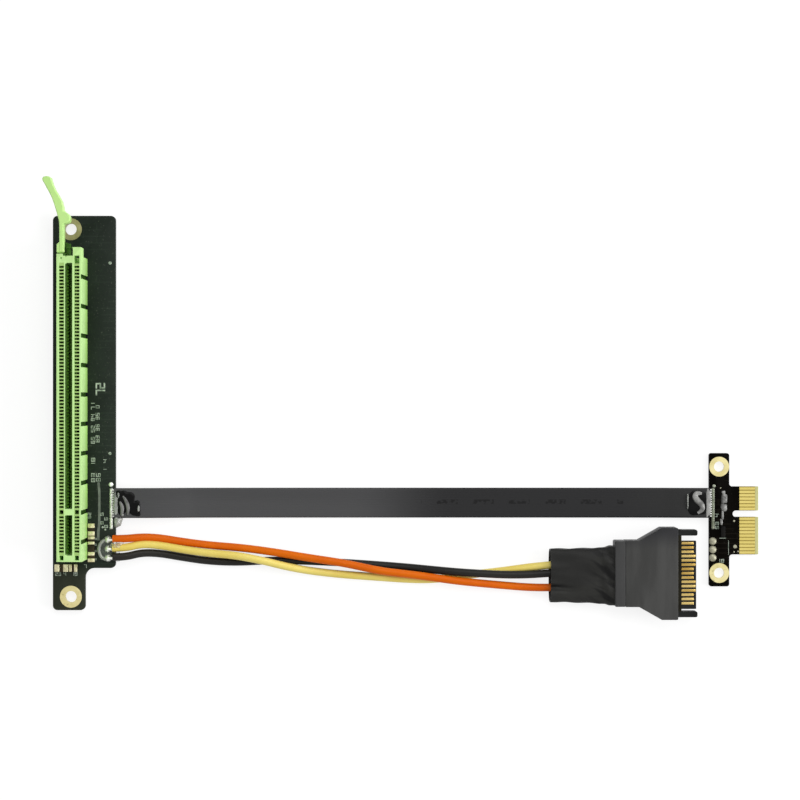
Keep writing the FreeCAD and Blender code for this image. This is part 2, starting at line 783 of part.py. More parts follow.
def make_plug_body():
    """Plug housing: a box that widens to the front, two guide arms and the blade tongue."""
    z0 = floor_z
    z1 = floor_z + plug_height
    half_box = plug_box_width / 2
    half_wide = plug_wide_width / 2
    upper = [
        (plug_x + cover_length, half_box), (plug_x + plug_straight, half_box),
        (plug_x + plug_slant_end, half_wide), (plug_front_x, half_wide),
    ]
    outline = [(x, plug_y + u) for x, u in upper] + [(x, plug_y - u) for x, u in reversed(upper)]
    shell = prism(outline, z0, z1)
    corners = [outline[2], outline[3], outline[4], outline[5]]
    shell = rounded_upright(shell, corners, plug_edge_r)
    arms = []
    for side in (-1, 1):
        y0, y1 = sorted((plug_y + side * arm_inner, plug_y + side * (arm_inner + arm_thick)))
        arm = box(plug_front_x - 1, plug_front_x + arm_length, y0, y1,
                  plug_middle_z - arm_z_height / 2, plug_middle_z + arm_z_height / 2)
        arm_end_x = plug_front_x + arm_length
        arms.append(rounded_upright(arm, [(arm_end_x, y0), (arm_end_x, y1)], arm_end_r))
    tongue = box(plug_front_x - 1, plug_front_x + tongue_length, plug_y - tongue_under, plug_y + tongue_over,
                 plug_middle_z - tongue_thick / 2, plug_middle_z + tongue_thick / 2)
    return shell.fuse(arms + [tongue]).removeSplitter()


def make_plug_cover():
    half = plug_box_width / 2 - cover_inset
    top_z = floor_z + plug_height
    cover = box(plug_x, plug_x + cover_length, plug_y - half, plug_y + half, floor_z, top_z)
    return rounded_upright(cover, [(plug_x, plug_y - half), (plug_x, plug_y + half)], plug_edge_r)


def make_plug_blades():
    """Fifteen blades on the tongue's upper face, six of them longer."""
    z0 = plug_middle_z + tongue_thick / 2
    x0 = plug_front_x + blade_start
    blades = []
    for i in range(blade_count):
        y = plug_y + ((blade_count - 1) / 2 - i) * blade_pitch
        length = blade_long if i in long_blades else blade_short
        blades.append(box(x0, x0 + length, y - blade_width / 2, y + blade_width / 2, z0, z0 + blade_thick))
    return blades


def make_edge_board():
    """Edge card: two tabs with mounting holes and a keyed tongue with chamfered edges."""
    top_y = edge_y + edge_hole_spacing / 2 + edge_end
    bottom_y = edge_y - edge_hole_spacing / 2 - edge_end
    tab_x = edge_left_x + edge_tab_width
    outline = [
        (edge_left_x, bottom_y), (tab_x, bottom_y), (tab_x, tongue_bottom_y), (edge_right_x, tongue_bottom_y),
        (edge_right_x, tongue_top_y), (tab_x, tongue_top_y), (tab_x, top_y), (edge_left_x, top_y),
    ]
    board = prism(outline, edge_low_z, edge_top_z)
    board = rounded_upright(board, [outline[i] for i in (0, 1, 6, 7)], edge_corner_r)
    board = rounded_upright(board, [outline[2], outline[5]], edge_fillet_r)
    reach = edge_right_x + 1
    cuts = []
    for z, way in ((edge_low_z, 1), (edge_top_z, -1)):
        wedge = [(edge_right_x - 2 * bevel, z), (reach, z), (reach, z + way * (bevel + 0.5))]
        cuts.append(side_prism(wedge, tongue_bottom_y - 1, tongue_top_y + 1))
    notch_end = edge_right_x - notch_depth + notch_width / 2
    low = edge_low_z - 1
    high = edge_top_z + 1
    half_notch = notch_width / 2
    cuts.append(box(notch_end, reach, notch_y - half_notch, notch_y + half_notch, low, high))
    cuts.append(rod(notch_end, notch_y, low, high, half_notch))
    for side in (-1, 1):
        y = edge_y + side * edge_hole_spacing / 2
        cuts.append(rod(edge_x, y, low, high, edge_hole_r + plating))
    return board.cut(cuts)


def finger_rows():
    """Y of each contact finger of the edge card."""
    upper = [notch_y + finger_first + i * finger_pitch for i in range(short_finger_count)]
    lower = [notch_y - finger_first - i * finger_pitch for i in range(long_finger_count)]
    return upper + lower


def make_fingers(z0):
    x1 = edge_right_x - finger_setback
    half = finger_width / 2
    return [box(x1 - finger_length, x1, y - half, y + half, z0, z0 + finger_thick) for y in finger_rows()]


def make_edge_pads():
    """Three round solder joints of the wires that cross the edge card."""
    pads = []
    for i in range(3):
        x = edge_x + edge_pad_x
        y = edge_y + edge_pad_first - i * edge_pad_pitch
        crown_r = (edge_pad_r ** 2 + edge_pad_height ** 2) / (2 * edge_pad_height)
        ball = Part.makeSphere(crown_r, FreeCAD.Vector(x, y, edge_top_z + edge_pad_height - crown_r))
        pads.append(ball.common(rod(x, y, edge_top_z, edge_top_z + 2 * edge_pad_height, 2 * edge_pad_r)))
    return pads


def main():
    os.makedirs("parts", exist_ok=True)
    save("slot_board", [make_slot_board()])
    save("slot_board_rings", [
        plated_hole(0, side * hole_spacing / 2, 0, board_thick, hole_r, ring_r) for side in (-1, 1)
    ])
    save("slot_housing", [make_slot_housing()])
    save("retention_latch", [make_latch()])
    left_row, right_row, tails = make_contacts()
    save("slot_contacts_left", left_row)
    save("slot_contacts_right", right_row)
    save("slot_solder_tails", tails)
    bodies, ends, diode = make_chips()
    save("capacitor_bodies", bodies)
    save("capacitor_terminals", ends)
    save("diode_chip", [diode])

    save("ribbon_cable", [make_ribbon()])
    jacket_start = board_right - ribbon_lap_slot
    jacket_end = edge_left_x + ribbon_lap_card
    conductors, joints = ribbon_joint(jacket_start, -1, board_thick)
    save("ribbon_conductors_slot", conductors)
    save("ribbon_solder_slot", joints)
    conductors, joints = ribbon_joint(jacket_end, 1, edge_top_z)
    save("ribbon_conductors_card", conductors)
    save("ribbon_solder_card", joints)
    glue_x = board_right + glue_slot_offset
    save("glue_ribbon_slot", [glue_patch(glue_x, glue_x + glue_slot_length, board_thick + ribbon_thick)])
    glue_x = edge_left_x - glue_card_offset
    save("glue_ribbon_card", [glue_patch(glue_x, glue_x - glue_card_length, edge_top_z + ribbon_thick)])

    orange = wire_solid("wire_orange", orange_route, pad_pitch, -wire_end_spread)
    yellow = wire_solid("wire_yellow", yellow_route, 0, wire_end_spread)
    black = wire_solid("wire_black", black_route, -pad_pitch, 0)
    cores, power_joints = make_power_joints()
    save("wire_orange", [orange])
    save("wire_yellow", [yellow])
    save("wire_black", [black])
    save("wire_cores", cores)
    save("power_solder_joints", power_joints)
    save("glue_power_joint", [make_glue_blob([orange, yellow, black], cores, power_joints)])

    save("heat_shrink", [make_sleeve()])
    save("plug_body", [make_plug_body()])
    save("plug_rear_cover", [make_plug_cover()])
    save("plug_contacts", make_plug_blades())

    save("edge_board", [make_edge_board()])
    edge_holes = [edge_y + side * edge_hole_spacing / 2 for side in (-1, 1)]
    save("edge_board_rings", [
        plated_hole(edge_x, y, edge_low_z, edge_top_z, edge_hole_r, edge_ring_r) for y in edge_holes
    ])
    save("edge_fingers_top", make_fingers(edge_top_z))
    save("edge_fingers_under", make_fingers(edge_low_z - finger_thick))
    save("edge_solder_pads", make_edge_pads())
    chip_x = edge_x + edge_chip_x
    chip_y = edge_y + edge_chip_y
    save("edge_chip", [box(chip_x - edge_chip_width / 2, chip_x + edge_chip_width / 2,
                           chip_y - edge_chip_length / 2, chip_y + edge_chip_length / 2,
                           edge_top_z, edge_top_z + edge_chip_height)])


main()
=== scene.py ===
import bmesh
import bpy
import math
import numpy as np
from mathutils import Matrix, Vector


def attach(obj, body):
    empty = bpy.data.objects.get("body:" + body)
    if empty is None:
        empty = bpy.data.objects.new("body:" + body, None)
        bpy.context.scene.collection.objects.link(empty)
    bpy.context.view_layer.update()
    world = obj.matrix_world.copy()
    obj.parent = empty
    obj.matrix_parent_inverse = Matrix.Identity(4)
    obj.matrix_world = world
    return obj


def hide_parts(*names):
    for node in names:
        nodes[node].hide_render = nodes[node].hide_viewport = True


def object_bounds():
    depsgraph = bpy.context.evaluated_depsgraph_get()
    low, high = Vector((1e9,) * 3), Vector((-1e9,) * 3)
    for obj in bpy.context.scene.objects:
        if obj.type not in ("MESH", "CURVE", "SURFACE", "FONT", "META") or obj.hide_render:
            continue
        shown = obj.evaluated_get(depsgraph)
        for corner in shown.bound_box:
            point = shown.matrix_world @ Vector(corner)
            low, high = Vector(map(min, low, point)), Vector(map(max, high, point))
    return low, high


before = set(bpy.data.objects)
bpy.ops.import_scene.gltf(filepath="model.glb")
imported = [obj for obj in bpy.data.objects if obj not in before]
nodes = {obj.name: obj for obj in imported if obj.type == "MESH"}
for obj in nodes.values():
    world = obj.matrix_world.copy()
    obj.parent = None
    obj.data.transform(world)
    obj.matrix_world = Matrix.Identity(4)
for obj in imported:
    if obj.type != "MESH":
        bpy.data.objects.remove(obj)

# A riser for an expansion card, laid out flat on a white table and seen from straight above.
# Lengths in the dictionaries are millimetres in the frame of the solids; meshes are in metres.

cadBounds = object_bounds()
mm = 0.001
floorZ = cadBounds[0][2]

view = {"middleX": 97.63, "middleY": 3.856, "height": 640.0, "pictureWidth": 238.4, "sensor": 36.0}
light = {
    "worldFill": 0.45, "keyPower": 7.0, "keySize": 0.9, "keyPlace": (0.4, 0.7, 1.0),
    "fillPower": 9.5, "fillSize": 0.7, "fillPlace": (1.15, -0.1, 0.5), "aim": (0.06, 0.0, 0.0),
    "floorSize": 4.0, "floorColour": (0.9, 0.9, 0.9, 1.0), "seenColour": (0.25, 0.25, 0.25, 1.0), "floorGlow": 0.81,
    "floorGap": 0.00001, "floorRoughness": 0.9, "white": (1.0, 1.0, 1.0, 1.0),
}


def linear(red, green, blue):
    # A screen colour of 0 to 255 as the linear colour that the shaders use
    shares = np.array([red, green, blue]) / 255.0
    low = shares / 12.92
    high = ((shares + 0.055) / 1.055) ** 2.4
    return tuple(np.where(shares <= 0.04045, low, high).tolist()) + (1.0,)


def gridFaces(rows, columns):
    # Quads between neighbouring rows and columns; the last column joins the first
    row = np.arange(rows - 1)[:, None]
    column = np.arange(columns)[None, :]
    following = (column + 1) % columns
    quads = [row * columns + column, row * columns + following,
             (row + 1) * columns + following, (row + 1) * columns + column]
    return np.stack(np.broadcast_arrays(*quads), -1).reshape(-1, 4)


def shell(points):
    # A grid of points as one shell: vertices and quads
    return points.reshape(-1, 3), gridFaces(*points.shape[:2])


def poled(points):
    # A tube closed at both ends by a point in the middle of its first and last rings
    first = np.broadcast_to(points[:1].mean(axis=1, keepdims=True), points[:1].shape)
    last = np.broadcast_to(points[-1:].mean(axis=1, keepdims=True), points[-1:].shape)
    return np.concatenate([first, points, last])


def plate(x0, x1, y0, y1, z0, z1):
    # A flat plate between two corners: its rings are the lower and upper rectangles
    corners = np.array([[x0, y0], [x1, y0], [x1, y1], [x0, y1]])
    rings = [np.column_stack([corners, np.full(4, z)]) for z in (z0, z1)]
    return shell(poled(np.array(rings)))


def slab(outline, z0, z1):
    # A closed outline of (x, y) points lifted from z0 to z1: two flat faces and a band of quads
    outline = np.array(outline)
    count = len(outline)
    rings = [np.column_stack([outline, np.full(count, z)]) for z in (z0, z1)]
    band = gridFaces(2, count).tolist()
    return np.concatenate(rings), band + [list(range(count))[::-1], list(range(count, 2 * count))]


def disc(x, y, z, radius, height, sides=28, rows=7):
    # A low round cushion: radius falls as a quarter circle while the height grows
    turn = np.linspace(0, 2 * np.pi, sides, endpoint=False)[None, :]
    rise = np.sin(np.linspace(0, 0.5 * np.pi, rows))[:, None]
    reach = radius * np.sqrt(np.clip(1 - rise ** 2, 0, 1))
    points = np.stack(np.broadcast_arrays(x + reach * np.cos(turn), y + reach * np.sin(turn),
                                          z + height * rise), -1)
    return shell(poled(points))


def carried(path, profile):
    # A closed profile of (side, up) points carried along a path: each ring is the path's point
    # plus the side direction times side plus the upward direction times up
    along = np.gradient(path, axis=0)
    along /= np.linalg.norm(along, axis=1, keepdims=True)
    side = np.cross([0.0, 0.0, 1.0], along)
    side /= np.linalg.norm(side, axis=1, keepdims=True)
    up = np.cross(along, side)
    rings = path[:, None, :] + side[:, None, :] * profile[None, :, :1] + up[:, None, :] * profile[None, :, 1:]
    return shell(poled(rings))


dropShape = {"sides": 72, "rows": 18, "squareness": 3.2, "ripple": 0.12}


def blob(x, y, z, reachX, reachY, height, seed, wobble=0.06, power=4.0, dip=0.0, skirt=0.0):
    # A set drop of glue: polar rows from the crown to the rim and back underneath. Its outline is
    # a rounded rectangle with three slow waves, its height one minus the share of reach to a
    # power, less a dip in the middle and with a fine ripple on top
    turn = np.linspace(0, 2 * np.pi, dropShape["sides"], endpoint=False)[None, :]
    share = np.linspace(0.0, 1.0, dropShape["rows"])[:, None]
    bend = dropShape["squareness"]
    square = (np.abs(np.cos(turn)) ** bend + np.abs(np.sin(turn)) ** bend) ** (-1 / bend)
    waves = np.sin(2 * turn + seed) + 0.7 * np.sin(3 * turn + 2.3 * seed) + 0.5 * np.sin(5 * turn - seed)
    outline = square * (1 + wobble * waves)
    crown = (1 - share ** power) - dip * (1 - share ** 2) ** 2
    waves = np.sin(7 * share * np.cos(turn - seed) + 3 * seed) * np.cos(5 * share * np.sin(turn))
    top = np.stack(np.broadcast_arrays(x + reachX * outline * share * np.cos(turn),
                                       y + reachY * outline * share * np.sin(turn),
                                       z + height * crown * (1 + dropShape["ripple"] * waves)), -1)
    under = top[::-1].copy()
    under[..., 2] = z - skirt
    return shell(np.concatenate([top, under]))


# Distances in metres below which vertices join, in drawn shells and in copies of solids, and
# the angles in radians past which an edge is rounded or two faces aren't joined up
joining = {"drawn": 1e-7, "copied": 1e-6, "edge": 0.6, "flat": 0.02}


def makePiece(name, shells, material, replaced=(), body="riser", sharpAngle=0.7, scale=mm):
    # One object out of several shells; doubles merged and faces turned outwards
    points = np.concatenate([vertices for vertices, faces in shells]) * scale
    starts = np.cumsum([0] + [len(vertices) for vertices, faces in shells[:-1]])
    faces = [[corner + int(start) for corner in face] for (vertices, quads), start in zip(shells, starts)
             for face in (quads.tolist() if hasattr(quads, "tolist") else quads)]
    mesh = bpy.data.meshes.new(name)
    mesh.from_pydata(points.tolist(), [], faces)
    work = bmesh.new()
    work.from_mesh(mesh)
    bmesh.ops.remove_doubles(work, verts=work.verts, dist=joining["drawn"])
    bmesh.ops.dissolve_degenerate(work, edges=work.edges, dist=joining["drawn"])
    bmesh.ops.recalc_face_normals(work, faces=work.faces)
    smoothInto(mesh, work)
    mesh.set_sharp_from_angle(angle=sharpAngle)
    return placePiece(name, mesh, material, replaced, body)


def smoothInto(mesh, work):
    for face in work.faces:
        face.smooth = True
    work.to_mesh(mesh)
    work.free()


def addObject(name, data):
    thing = bpy.data.objects.new(name, data)
    bpy.context.scene.collection.objects.link(thing)
    return thing


def placePiece(name, data, material, replaced, body="riser"):
    piece = addObject(name, data)
    data.materials.clear()
    data.materials.append(material)
    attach(piece, body)
    if replaced:
        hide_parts(*replaced)
    return piece


def roundEdges(piece, width, segments, angle=joining["edge"]):
    rounding = piece.modifiers.new("roundedEdges", "BEVEL")
    rounding.width = width * mm
    rounding.segments = segments
    rounding.limit_method = "ANGLE"
    rounding.angle_limit = angle
    rounding.harden_normals = True


def softened(node, name, width, material, segments=2, flat=joining["flat"]):
    # A copy of a solid with its flat faces joined up and every edge rounded
    mesh = nodes[node].data.copy()
    mesh.name = name
    work = bmesh.new()
    work.from_mesh(mesh)
    bmesh.ops.remove_doubles(work, verts=work.verts, dist=joining["copied"])
    bmesh.ops.dissolve_limit(work, angle_limit=flat, verts=work.verts, edges=work.edges)
    smoothInto(mesh, work)
    piece = placePiece(name, mesh, material, (node,))
    roundEdges(piece, width, segments)
    return piece


def paint(names, material):
    # A solid whose shape is right keeps its mesh and gets the finish
    for name in names:
        data = nodes[name].data
        data.materials.clear()
        data.materials.append(material)


def feed(tree, socket, value):
    # A link where the value comes out of another node, else the socket's own constant
    if hasattr(value, "is_linked"):
        tree.links.new(value, socket)
    else:
        socket.default_value = value


def noiseNode(tree, vector, scale, detail, roughness=0.55):
    noise = tree.nodes.new("ShaderNodeTexNoise")
    for label, value in (("Vector", vector), ("Scale", scale), ("Detail", detail), ("Roughness", roughness)):
        feed(tree, noise.inputs[label], value)
    return noise.outputs["Fac"]


def mathNode(tree, operation, *values, clamp=False):
    node = tree.nodes.new("ShaderNodeMath")
    node.operation = operation
    node.use_clamp = clamp
    for socket, value in zip(node.inputs, values):
        feed(tree, socket, value)
    return node.outputs[0]


def product(tree, *shares):
    # Masks multiplied together, one after the other
    result = shares[0]
    for share in shares[1:]:
        result = mathNode(tree, "MULTIPLY", result, share)
    return result


def mixNode(tree, share, first, second):
    # The colour sockets of this node are its seventh and eighth
    node = tree.nodes.new("ShaderNodeMix")
    node.data_type = "RGBA"
    for index, value in ((0, share), (6, first), (7, second)):
        feed(tree, node.inputs[index], value)
    return node.outputs[2]


def rangeNode(tree, value, low, high, toLow=0.0, toHigh=1.0):
    node = tree.nodes.new("ShaderNodeMapRange")
    node.interpolation_type = "SMOOTHSTEP"
    labels = ("Value", "From Min", "From Max", "To Min", "To Max")
    for label, number in zip(labels, (value, low, high, toLow, toHigh)):
        feed(tree, node.inputs[label], number)
    return node.outputs["Result"]


def mappingNode(tree, place, kind, scale, turn=0.0):
    node = tree.nodes.new("ShaderNodeMapping")
    node.vector_type = kind
    node.inputs["Rotation"].default_value = (0.0, 0.0, turn)
    node.inputs["Scale"].default_value = scale
    tree.links.new(place, node.inputs["Vector"])
    return node.outputs["Vector"]


def groupNode(tree, group, vector, values):
    node = tree.nodes.new("ShaderNodeGroup")
    node.node_tree = group
    for label, value in {"Vector": vector, **values}.items():
        feed(tree, node.inputs[label], value)
    return node.outputs


def separate(tree, place):
    node = tree.nodes.new("ShaderNodeSeparateXYZ")
    tree.links.new(place, node.inputs[0])
    return node.outputs


def newGroup(name, inputs, outputs):
    # A group whose sockets are numbers, apart from the vector and the two colours
    kinds = {"Vector": "NodeSocketVector", "Colour": "NodeSocketColor", "Shade": "NodeSocketColor"}
    group = bpy.data.node_groups.new(name, "ShaderNodeTree")
    for side, labels in (("INPUT", inputs), ("OUTPUT", outputs)):
        for label in labels:
            group.interface.new_socket(name=label, in_out=side, socket_type=kinds.get(label, "NodeSocketFloat"))
    return group, group.nodes.new("NodeGroupInput").outputs, group.nodes.new("NodeGroupOutput").inputs


shared = {
    "driftDetail": 4.0, "driftLow": 0.35, "driftHigh": 0.68, "grainDetail": 3.0,
    "speckDetail": 2.0, "speckLow": 0.62, "speckHigh": 0.74,
    "patchScale": 110.0, "patchLow": 0.5, "patchHigh": 0.58,
    "brick": {"Mortar Size": 0.035, "Mortar Smooth": 0.3, "Brick Width": 2.6, "Row Height": 0.33},
}


def makeSurfaceGroup():
    # Slow drift between two colours, fine grain for the bump and a roughness that wanders
    group, source, sink = newGroup(
        "surfaceDrift", ("Vector", "Colour", "Shade", "Drift Scale", "Grain Scale", "Roughness", "Spread"),
        ("Colour", "Roughness", "Height"))
    drift = noiseNode(group, source["Vector"], source["Drift Scale"], shared["driftDetail"])
    share = rangeNode(group, drift, shared["driftLow"], shared["driftHigh"])
    wander = product(group, mathNode(group, "SUBTRACT", drift, 0.5), source["Spread"])
    grain = noiseNode(group, source["Vector"], source["Grain Scale"], shared["grainDetail"])
    group.links.new(mixNode(group, share, source["Colour"], source["Shade"]), sink["Colour"])
    group.links.new(mathNode(group, "ADD", source["Roughness"], wander, clamp=True), sink["Roughness"])
    group.links.new(grain, sink["Height"])
    return group


def makeSpeckGroup():
    # Small pale specks, as dust and handling leave: a mask out of sparse noise peaks
    group, source, sink = newGroup("dustSpecks", ("Vector", "Scale", "Amount"), ("Mask",))
    fine = noiseNode(group, source["Vector"], source["Scale"], shared["speckDetail"])
    peaks = rangeNode(group, fine, shared["speckLow"], shared["speckHigh"])
    group.links.new(product(group, peaks, source["Amount"]), sink["Mask"])
    return group


def makeTraceGroup():
    # Copper runs under the solder mask: the mortar lines of a long brick pattern, kept in patches
    group, source, sink = newGroup("maskedTraces", ("Vector", "Scale", "Strength"), ("Mask",))
    brick = group.nodes.new("ShaderNodeTexBrick")
    for label, value in {"Vector": source["Vector"], "Scale": source["Scale"], **shared["brick"]}.items():
        feed(group, brick.inputs[label], value)
    patches = noiseNode(group, source["Vector"], shared["patchScale"], 1.0)
    patches = rangeNode(group, patches, shared["patchLow"], shared["patchHigh"])
    group.links.new(product(group, brick.outputs["Fac"], patches, source["Strength"]), sink["Mask"])
    return group


surfaceDrift = makeSurfaceGroup()
dustSpecks = makeSpeckGroup()
maskedTraces = makeTraceGroup()


def newMaterial(name):
    material = bpy.data.materials.new(name)
    material.use_nodes = True
    return material, material.node_tree, material.node_tree.nodes["Principled BSDF"]


def makeFinish(colouring, name, look):
    # The shader with its constant values, drift and grain at the object's own coordinates,
    # stretched if asked, and over them what this kind of surface adds to colour and height.
    # Colours of three numbers are screen colours, those of four are linear already
    look = {key: linear(*value) if (key == "shade" or key.endswith("olour")) and len(value) == 3 else value
            for key, value in look.items()}
    material, tree, shader = newMaterial(name)
    material.diffuse_color = look["colour"]
    for label, value in look["shader"].items():
        shader.inputs[label].default_value = value
    place = tree.nodes.new("ShaderNodeTexCoord").outputs["Object"]
    vector = mappingNode(tree, place, "POINT", look["stretch"]) if "stretch" in look else place
    detail = groupNode(tree, surfaceDrift, vector, {
        "Colour": look["colour"], "Shade": look["shade"], "Drift Scale": look["driftScale"],
        "Grain Scale": look["grainScale"], "Roughness": look["roughness"], "Spread": look.get("spread", 0.15),
    })
    bump = tree.nodes.new("ShaderNodeBump")
    bump.inputs["Strength"].default_value = look["bump"]
    bump.inputs["Distance"].default_value = look.get("bumpDepth", 0.05) * mm
    colour, height = colouring(tree, place, look, detail["Colour"], detail["Height"])
    tree.links.new(colour, shader.inputs["Base Color"])
    tree.links.new(height, bump.inputs["Height"])
    tree.links.new(detail["Roughness"], shader.inputs["Roughness"])
    tree.links.new(bump.outputs["Normal"], shader.inputs["Normal"])
    return material


def within(tree, x, y, edgesX, edgesY):
    # One inside a rectangle seen from above, nothing outside it
    return product(tree, mathNode(tree, "GREATER_THAN", x, edgesX[0] * mm),
                   mathNode(tree, "LESS_THAN", x, edgesX[1] * mm),
                   mathNode(tree, "GREATER_THAN", y, edgesY[0] * mm),
                   mathNode(tree, "LESS_THAN", y, edgesY[1] * mm))


cardSlot = {"x": (0.04, 2.1), "y": ((-27.9, 43.6), (-41.2, -29.8))}


def insideSlot(tree, x, y):
    # One over the two lengths of the card slot, nothing elsewhere
    return mathNode(tree, "ADD", *(within(tree, x, y, cardSlot["x"], span) for span in cardSlot["y"]))


def plain(tree, place, look, colour, height):
    # Moulded, tinned, plated or set surface: specks where the look has them
    if "speckColour" in look:
        specks = groupNode(tree, dustSpecks, place, {"Scale": look["speckScale"], "Amount": look["speckAmount"]})
        colour = mixNode(tree, specks["Mask"], colour, look["speckColour"])
    return colour, height


def masked(tree, place, look, colour, height):
    # Solder mask with copper runs that show through it, dust, a browner foot, and bare glass
    # fibre and its bevel past an edge
    x, y, z = separate(tree, place)
    traces = groupNode(tree, maskedTraces, place, {"Scale": look["traceScale"], "Strength": look["traceStrength"]})
    specks = groupNode(tree, dustSpecks, place, {"Scale": look["dustScale"], "Amount": look["dust"]})
    colour = mixNode(tree, traces["Mask"], colour, look["traceColour"])
    colour = mixNode(tree, specks["Mask"], colour, look["dustColour"])
    if "footFrom" in look:
        foot = rangeNode(tree, y, look["footTo"] * mm, look["footFrom"] * mm, 1.0, 0.0)
        colour = mixNode(tree, foot, colour, look["footColour"])
    if "bareFrom" in look:
        for edge, edgeColour in ((look["bareFrom"], "bareColour"), (look["bevelFrom"], "bevelColour")):
            past = rangeNode(tree, x, edge * mm, (edge + look["edgeBlend"]) * mm)
            colour = mixNode(tree, past, colour, look[edgeColour])
    return colour, mathNode(tree, "MULTIPLY_ADD", traces["Mask"], look["traceLift"], height)


def jacketed(tree, place, look, colour, height):
    # Jacket whose grey changes along its length, with faint worn marks in evenly spaced groups
    # along the middle of the upper face
    x, y, z = separate(tree, place)
    toMiddle = rangeNode(tree, x, look["paleTo"] * mm, look["darkFrom"] * mm)
    toEnd = rangeNode(tree, x, look["darkTo"] * mm, look["endFrom"] * mm)
    colour = mixNode(tree, toMiddle, colour, look["middleColour"])
    colour = mixNode(tree, toEnd, colour, look["endColour"])
    nearest = mathNode(tree, "SUBTRACT", x, look["markStart"] * mm)
    nearest = mathNode(tree, "PINGPONG", nearest, look["markPitch"] / 2 * mm)
    worn = rangeNode(tree, noiseNode(tree, place, look["markScale"], 1.0), look["wornLow"], look["wornHigh"])
    marks = product(tree, within(tree, x, y, look["markX"], look["markY"]),
                    mathNode(tree, "GREATER_THAN", z, look["markZ"] * mm),
                    mathNode(tree, "LESS_THAN", nearest, look["markHalf"] * mm), worn, look["markAmount"])
    return mixNode(tree, marks, colour, look["markColour"]), height


def shrunk(tree, place, look, colour, height):
    # Shrunk sleeve with painted shade in its creases: a dark fold runs in from the mouth and dark tucks gather before
    # the plug
    x, y, z = separate(tree, place)
    mouth, foldEnd, tuckStart, tuckEnd = (edge * mm for edge in look["foldX"] + look["tuckX"])
    line = mathNode(tree, "MULTIPLY_ADD", mathNode(tree, "SUBTRACT", x, mouth), look["foldSlope"], look["foldY"] * mm)
    away = mathNode(tree, "ABSOLUTE", mathNode(tree, "SUBTRACT", y, line))
    fold = product(tree, rangeNode(tree, away, 0.0, look["foldHalf"] * mm, 1.0, 0.0),
                   rangeNode(tree, x, mouth, foldEnd, 1.0, 0.0))
    slanted = mappingNode(tree, place, "TEXTURE", look["tuckStretch"], look["tuckTurn"])
    tucks = rangeNode(tree, noiseNode(tree, slanted, look["tuckScale"], 2.0), look["tuckLow"], look["tuckHigh"])
    tucks = product(tree, tucks, rangeNode(tree, x, tuckStart, tuckEnd))
    colour = mixNode(tree, fold, colour, look["foldShadeColour"])
    return mixNode(tree, tucks, colour, look["tuckShadeColour"]), height


def moulded(tree, place, look, colour, height):
    # Moulded plug: the arms and tongue are darker than the body, which is dark at one end too
    x, y, z = separate(tree, place)
    front = rangeNode(tree, x, *(edge * mm for edge in look["frontX"]))
    dark = rangeNode(tree, y, *(edge * mm for edge in look["darkY"]))
    colour = mixNode(tree, dark, colour, look["darkColour"])
    return mixNode(tree, front, colour, look["armColour"]), height


def sprung(tree, place, look, colour, height):
    # Springs in the cells catch the light, and inside the card slot they are in the dark
    x, y, z = separate(tree, place)
    return mixNode(tree, insideSlot(tree, x, y), colour, look["slotShadeColour"]), height


def grooveShadeMask(tree, x, y, z, look):
    # Mask of painted shade in the grooves of the outer walls: distance to the nearest groove, as a triangle wave along
    # the socket; the mask is weaker on the wall that gets less light as it is
    along = mathNode(tree, "SUBTRACT", y, (look["grooveY"] + look["groovePitch"] / 2) * mm)
    nearest = mathNode(tree, "PINGPONG", along, look["groovePitch"] / 2 * mm)
    reach = look["grooveCount"] * look["groovePitch"] / 2
    span = (look["grooveY"] - reach, look["grooveY"] + reach)
    away = mathNode(tree, "ABSOLUTE", mathNode(tree, "SUBTRACT", x, look["middleX"] * mm))
    below = mathNode(tree, "LESS_THAN", z, look["grooveTop"] * mm)
    onRim = mathNode(tree, "GREATER_THAN", x, look["grooveRimX"] * mm)
    return product(tree, mathNode(tree, "LESS_THAN", nearest, look["grooveHalf"] * mm),
                   within(tree, away, y, look["grooveX"], span), mathNode(tree, "MAXIMUM", below, onRim),
                   rangeNode(tree, x, 0.0, look["middleX"] * mm, look["otherWall"], 1.0))


def housed(tree, place, look, colour, height):
    # Lime socket with painted shade where light comes less: darker towards the foot, in the card slot and on its rim,
    # in the recess, over the two rows of contact cells and in the wall grooves
    x, y, z = separate(tree, place)
    foot = rangeNode(tree, z, look["footZ"] * mm, look["rimZ"] * mm, 1.0, 0.0)
    rim = rangeNode(tree, z, *(edge * mm for edge in look["slotRimZ"]))
    slotShade = mixNode(tree, rim, look["slotShadeColour"], look["slotRimShadeColour"])
    colour = mixNode(tree, foot, colour, look["footColour"])
    colour = mixNode(tree, insideSlot(tree, x, y), colour, slotShade)
    colour = mixNode(tree, within(tree, x, y, look["recessX"], look["recessY"]), colour, look["recessShadeColour"])
    for edges in look["barX"]:
        colour = mixNode(tree, within(tree, x, y, edges, look["barY"]), colour, look["cellRowShadeColour"])
    return mixNode(tree, grooveShadeMask(tree, x, y, z, look), colour, look["grooveShadeColour"]), height


def latched(tree, place, look, colour, height):
    # Lime latch, with painted shade on the base's inner side, which stands in the socket's recess
    x, y, z = separate(tree, place)
    inner = product(tree, within(tree, x, y, look["innerX"], look["innerY"]),
                    mathNode(tree, "LESS_THAN", z, look["innerTop"] * mm))
    return mixNode(tree, inner, colour, look["innerShadeColour"]), height


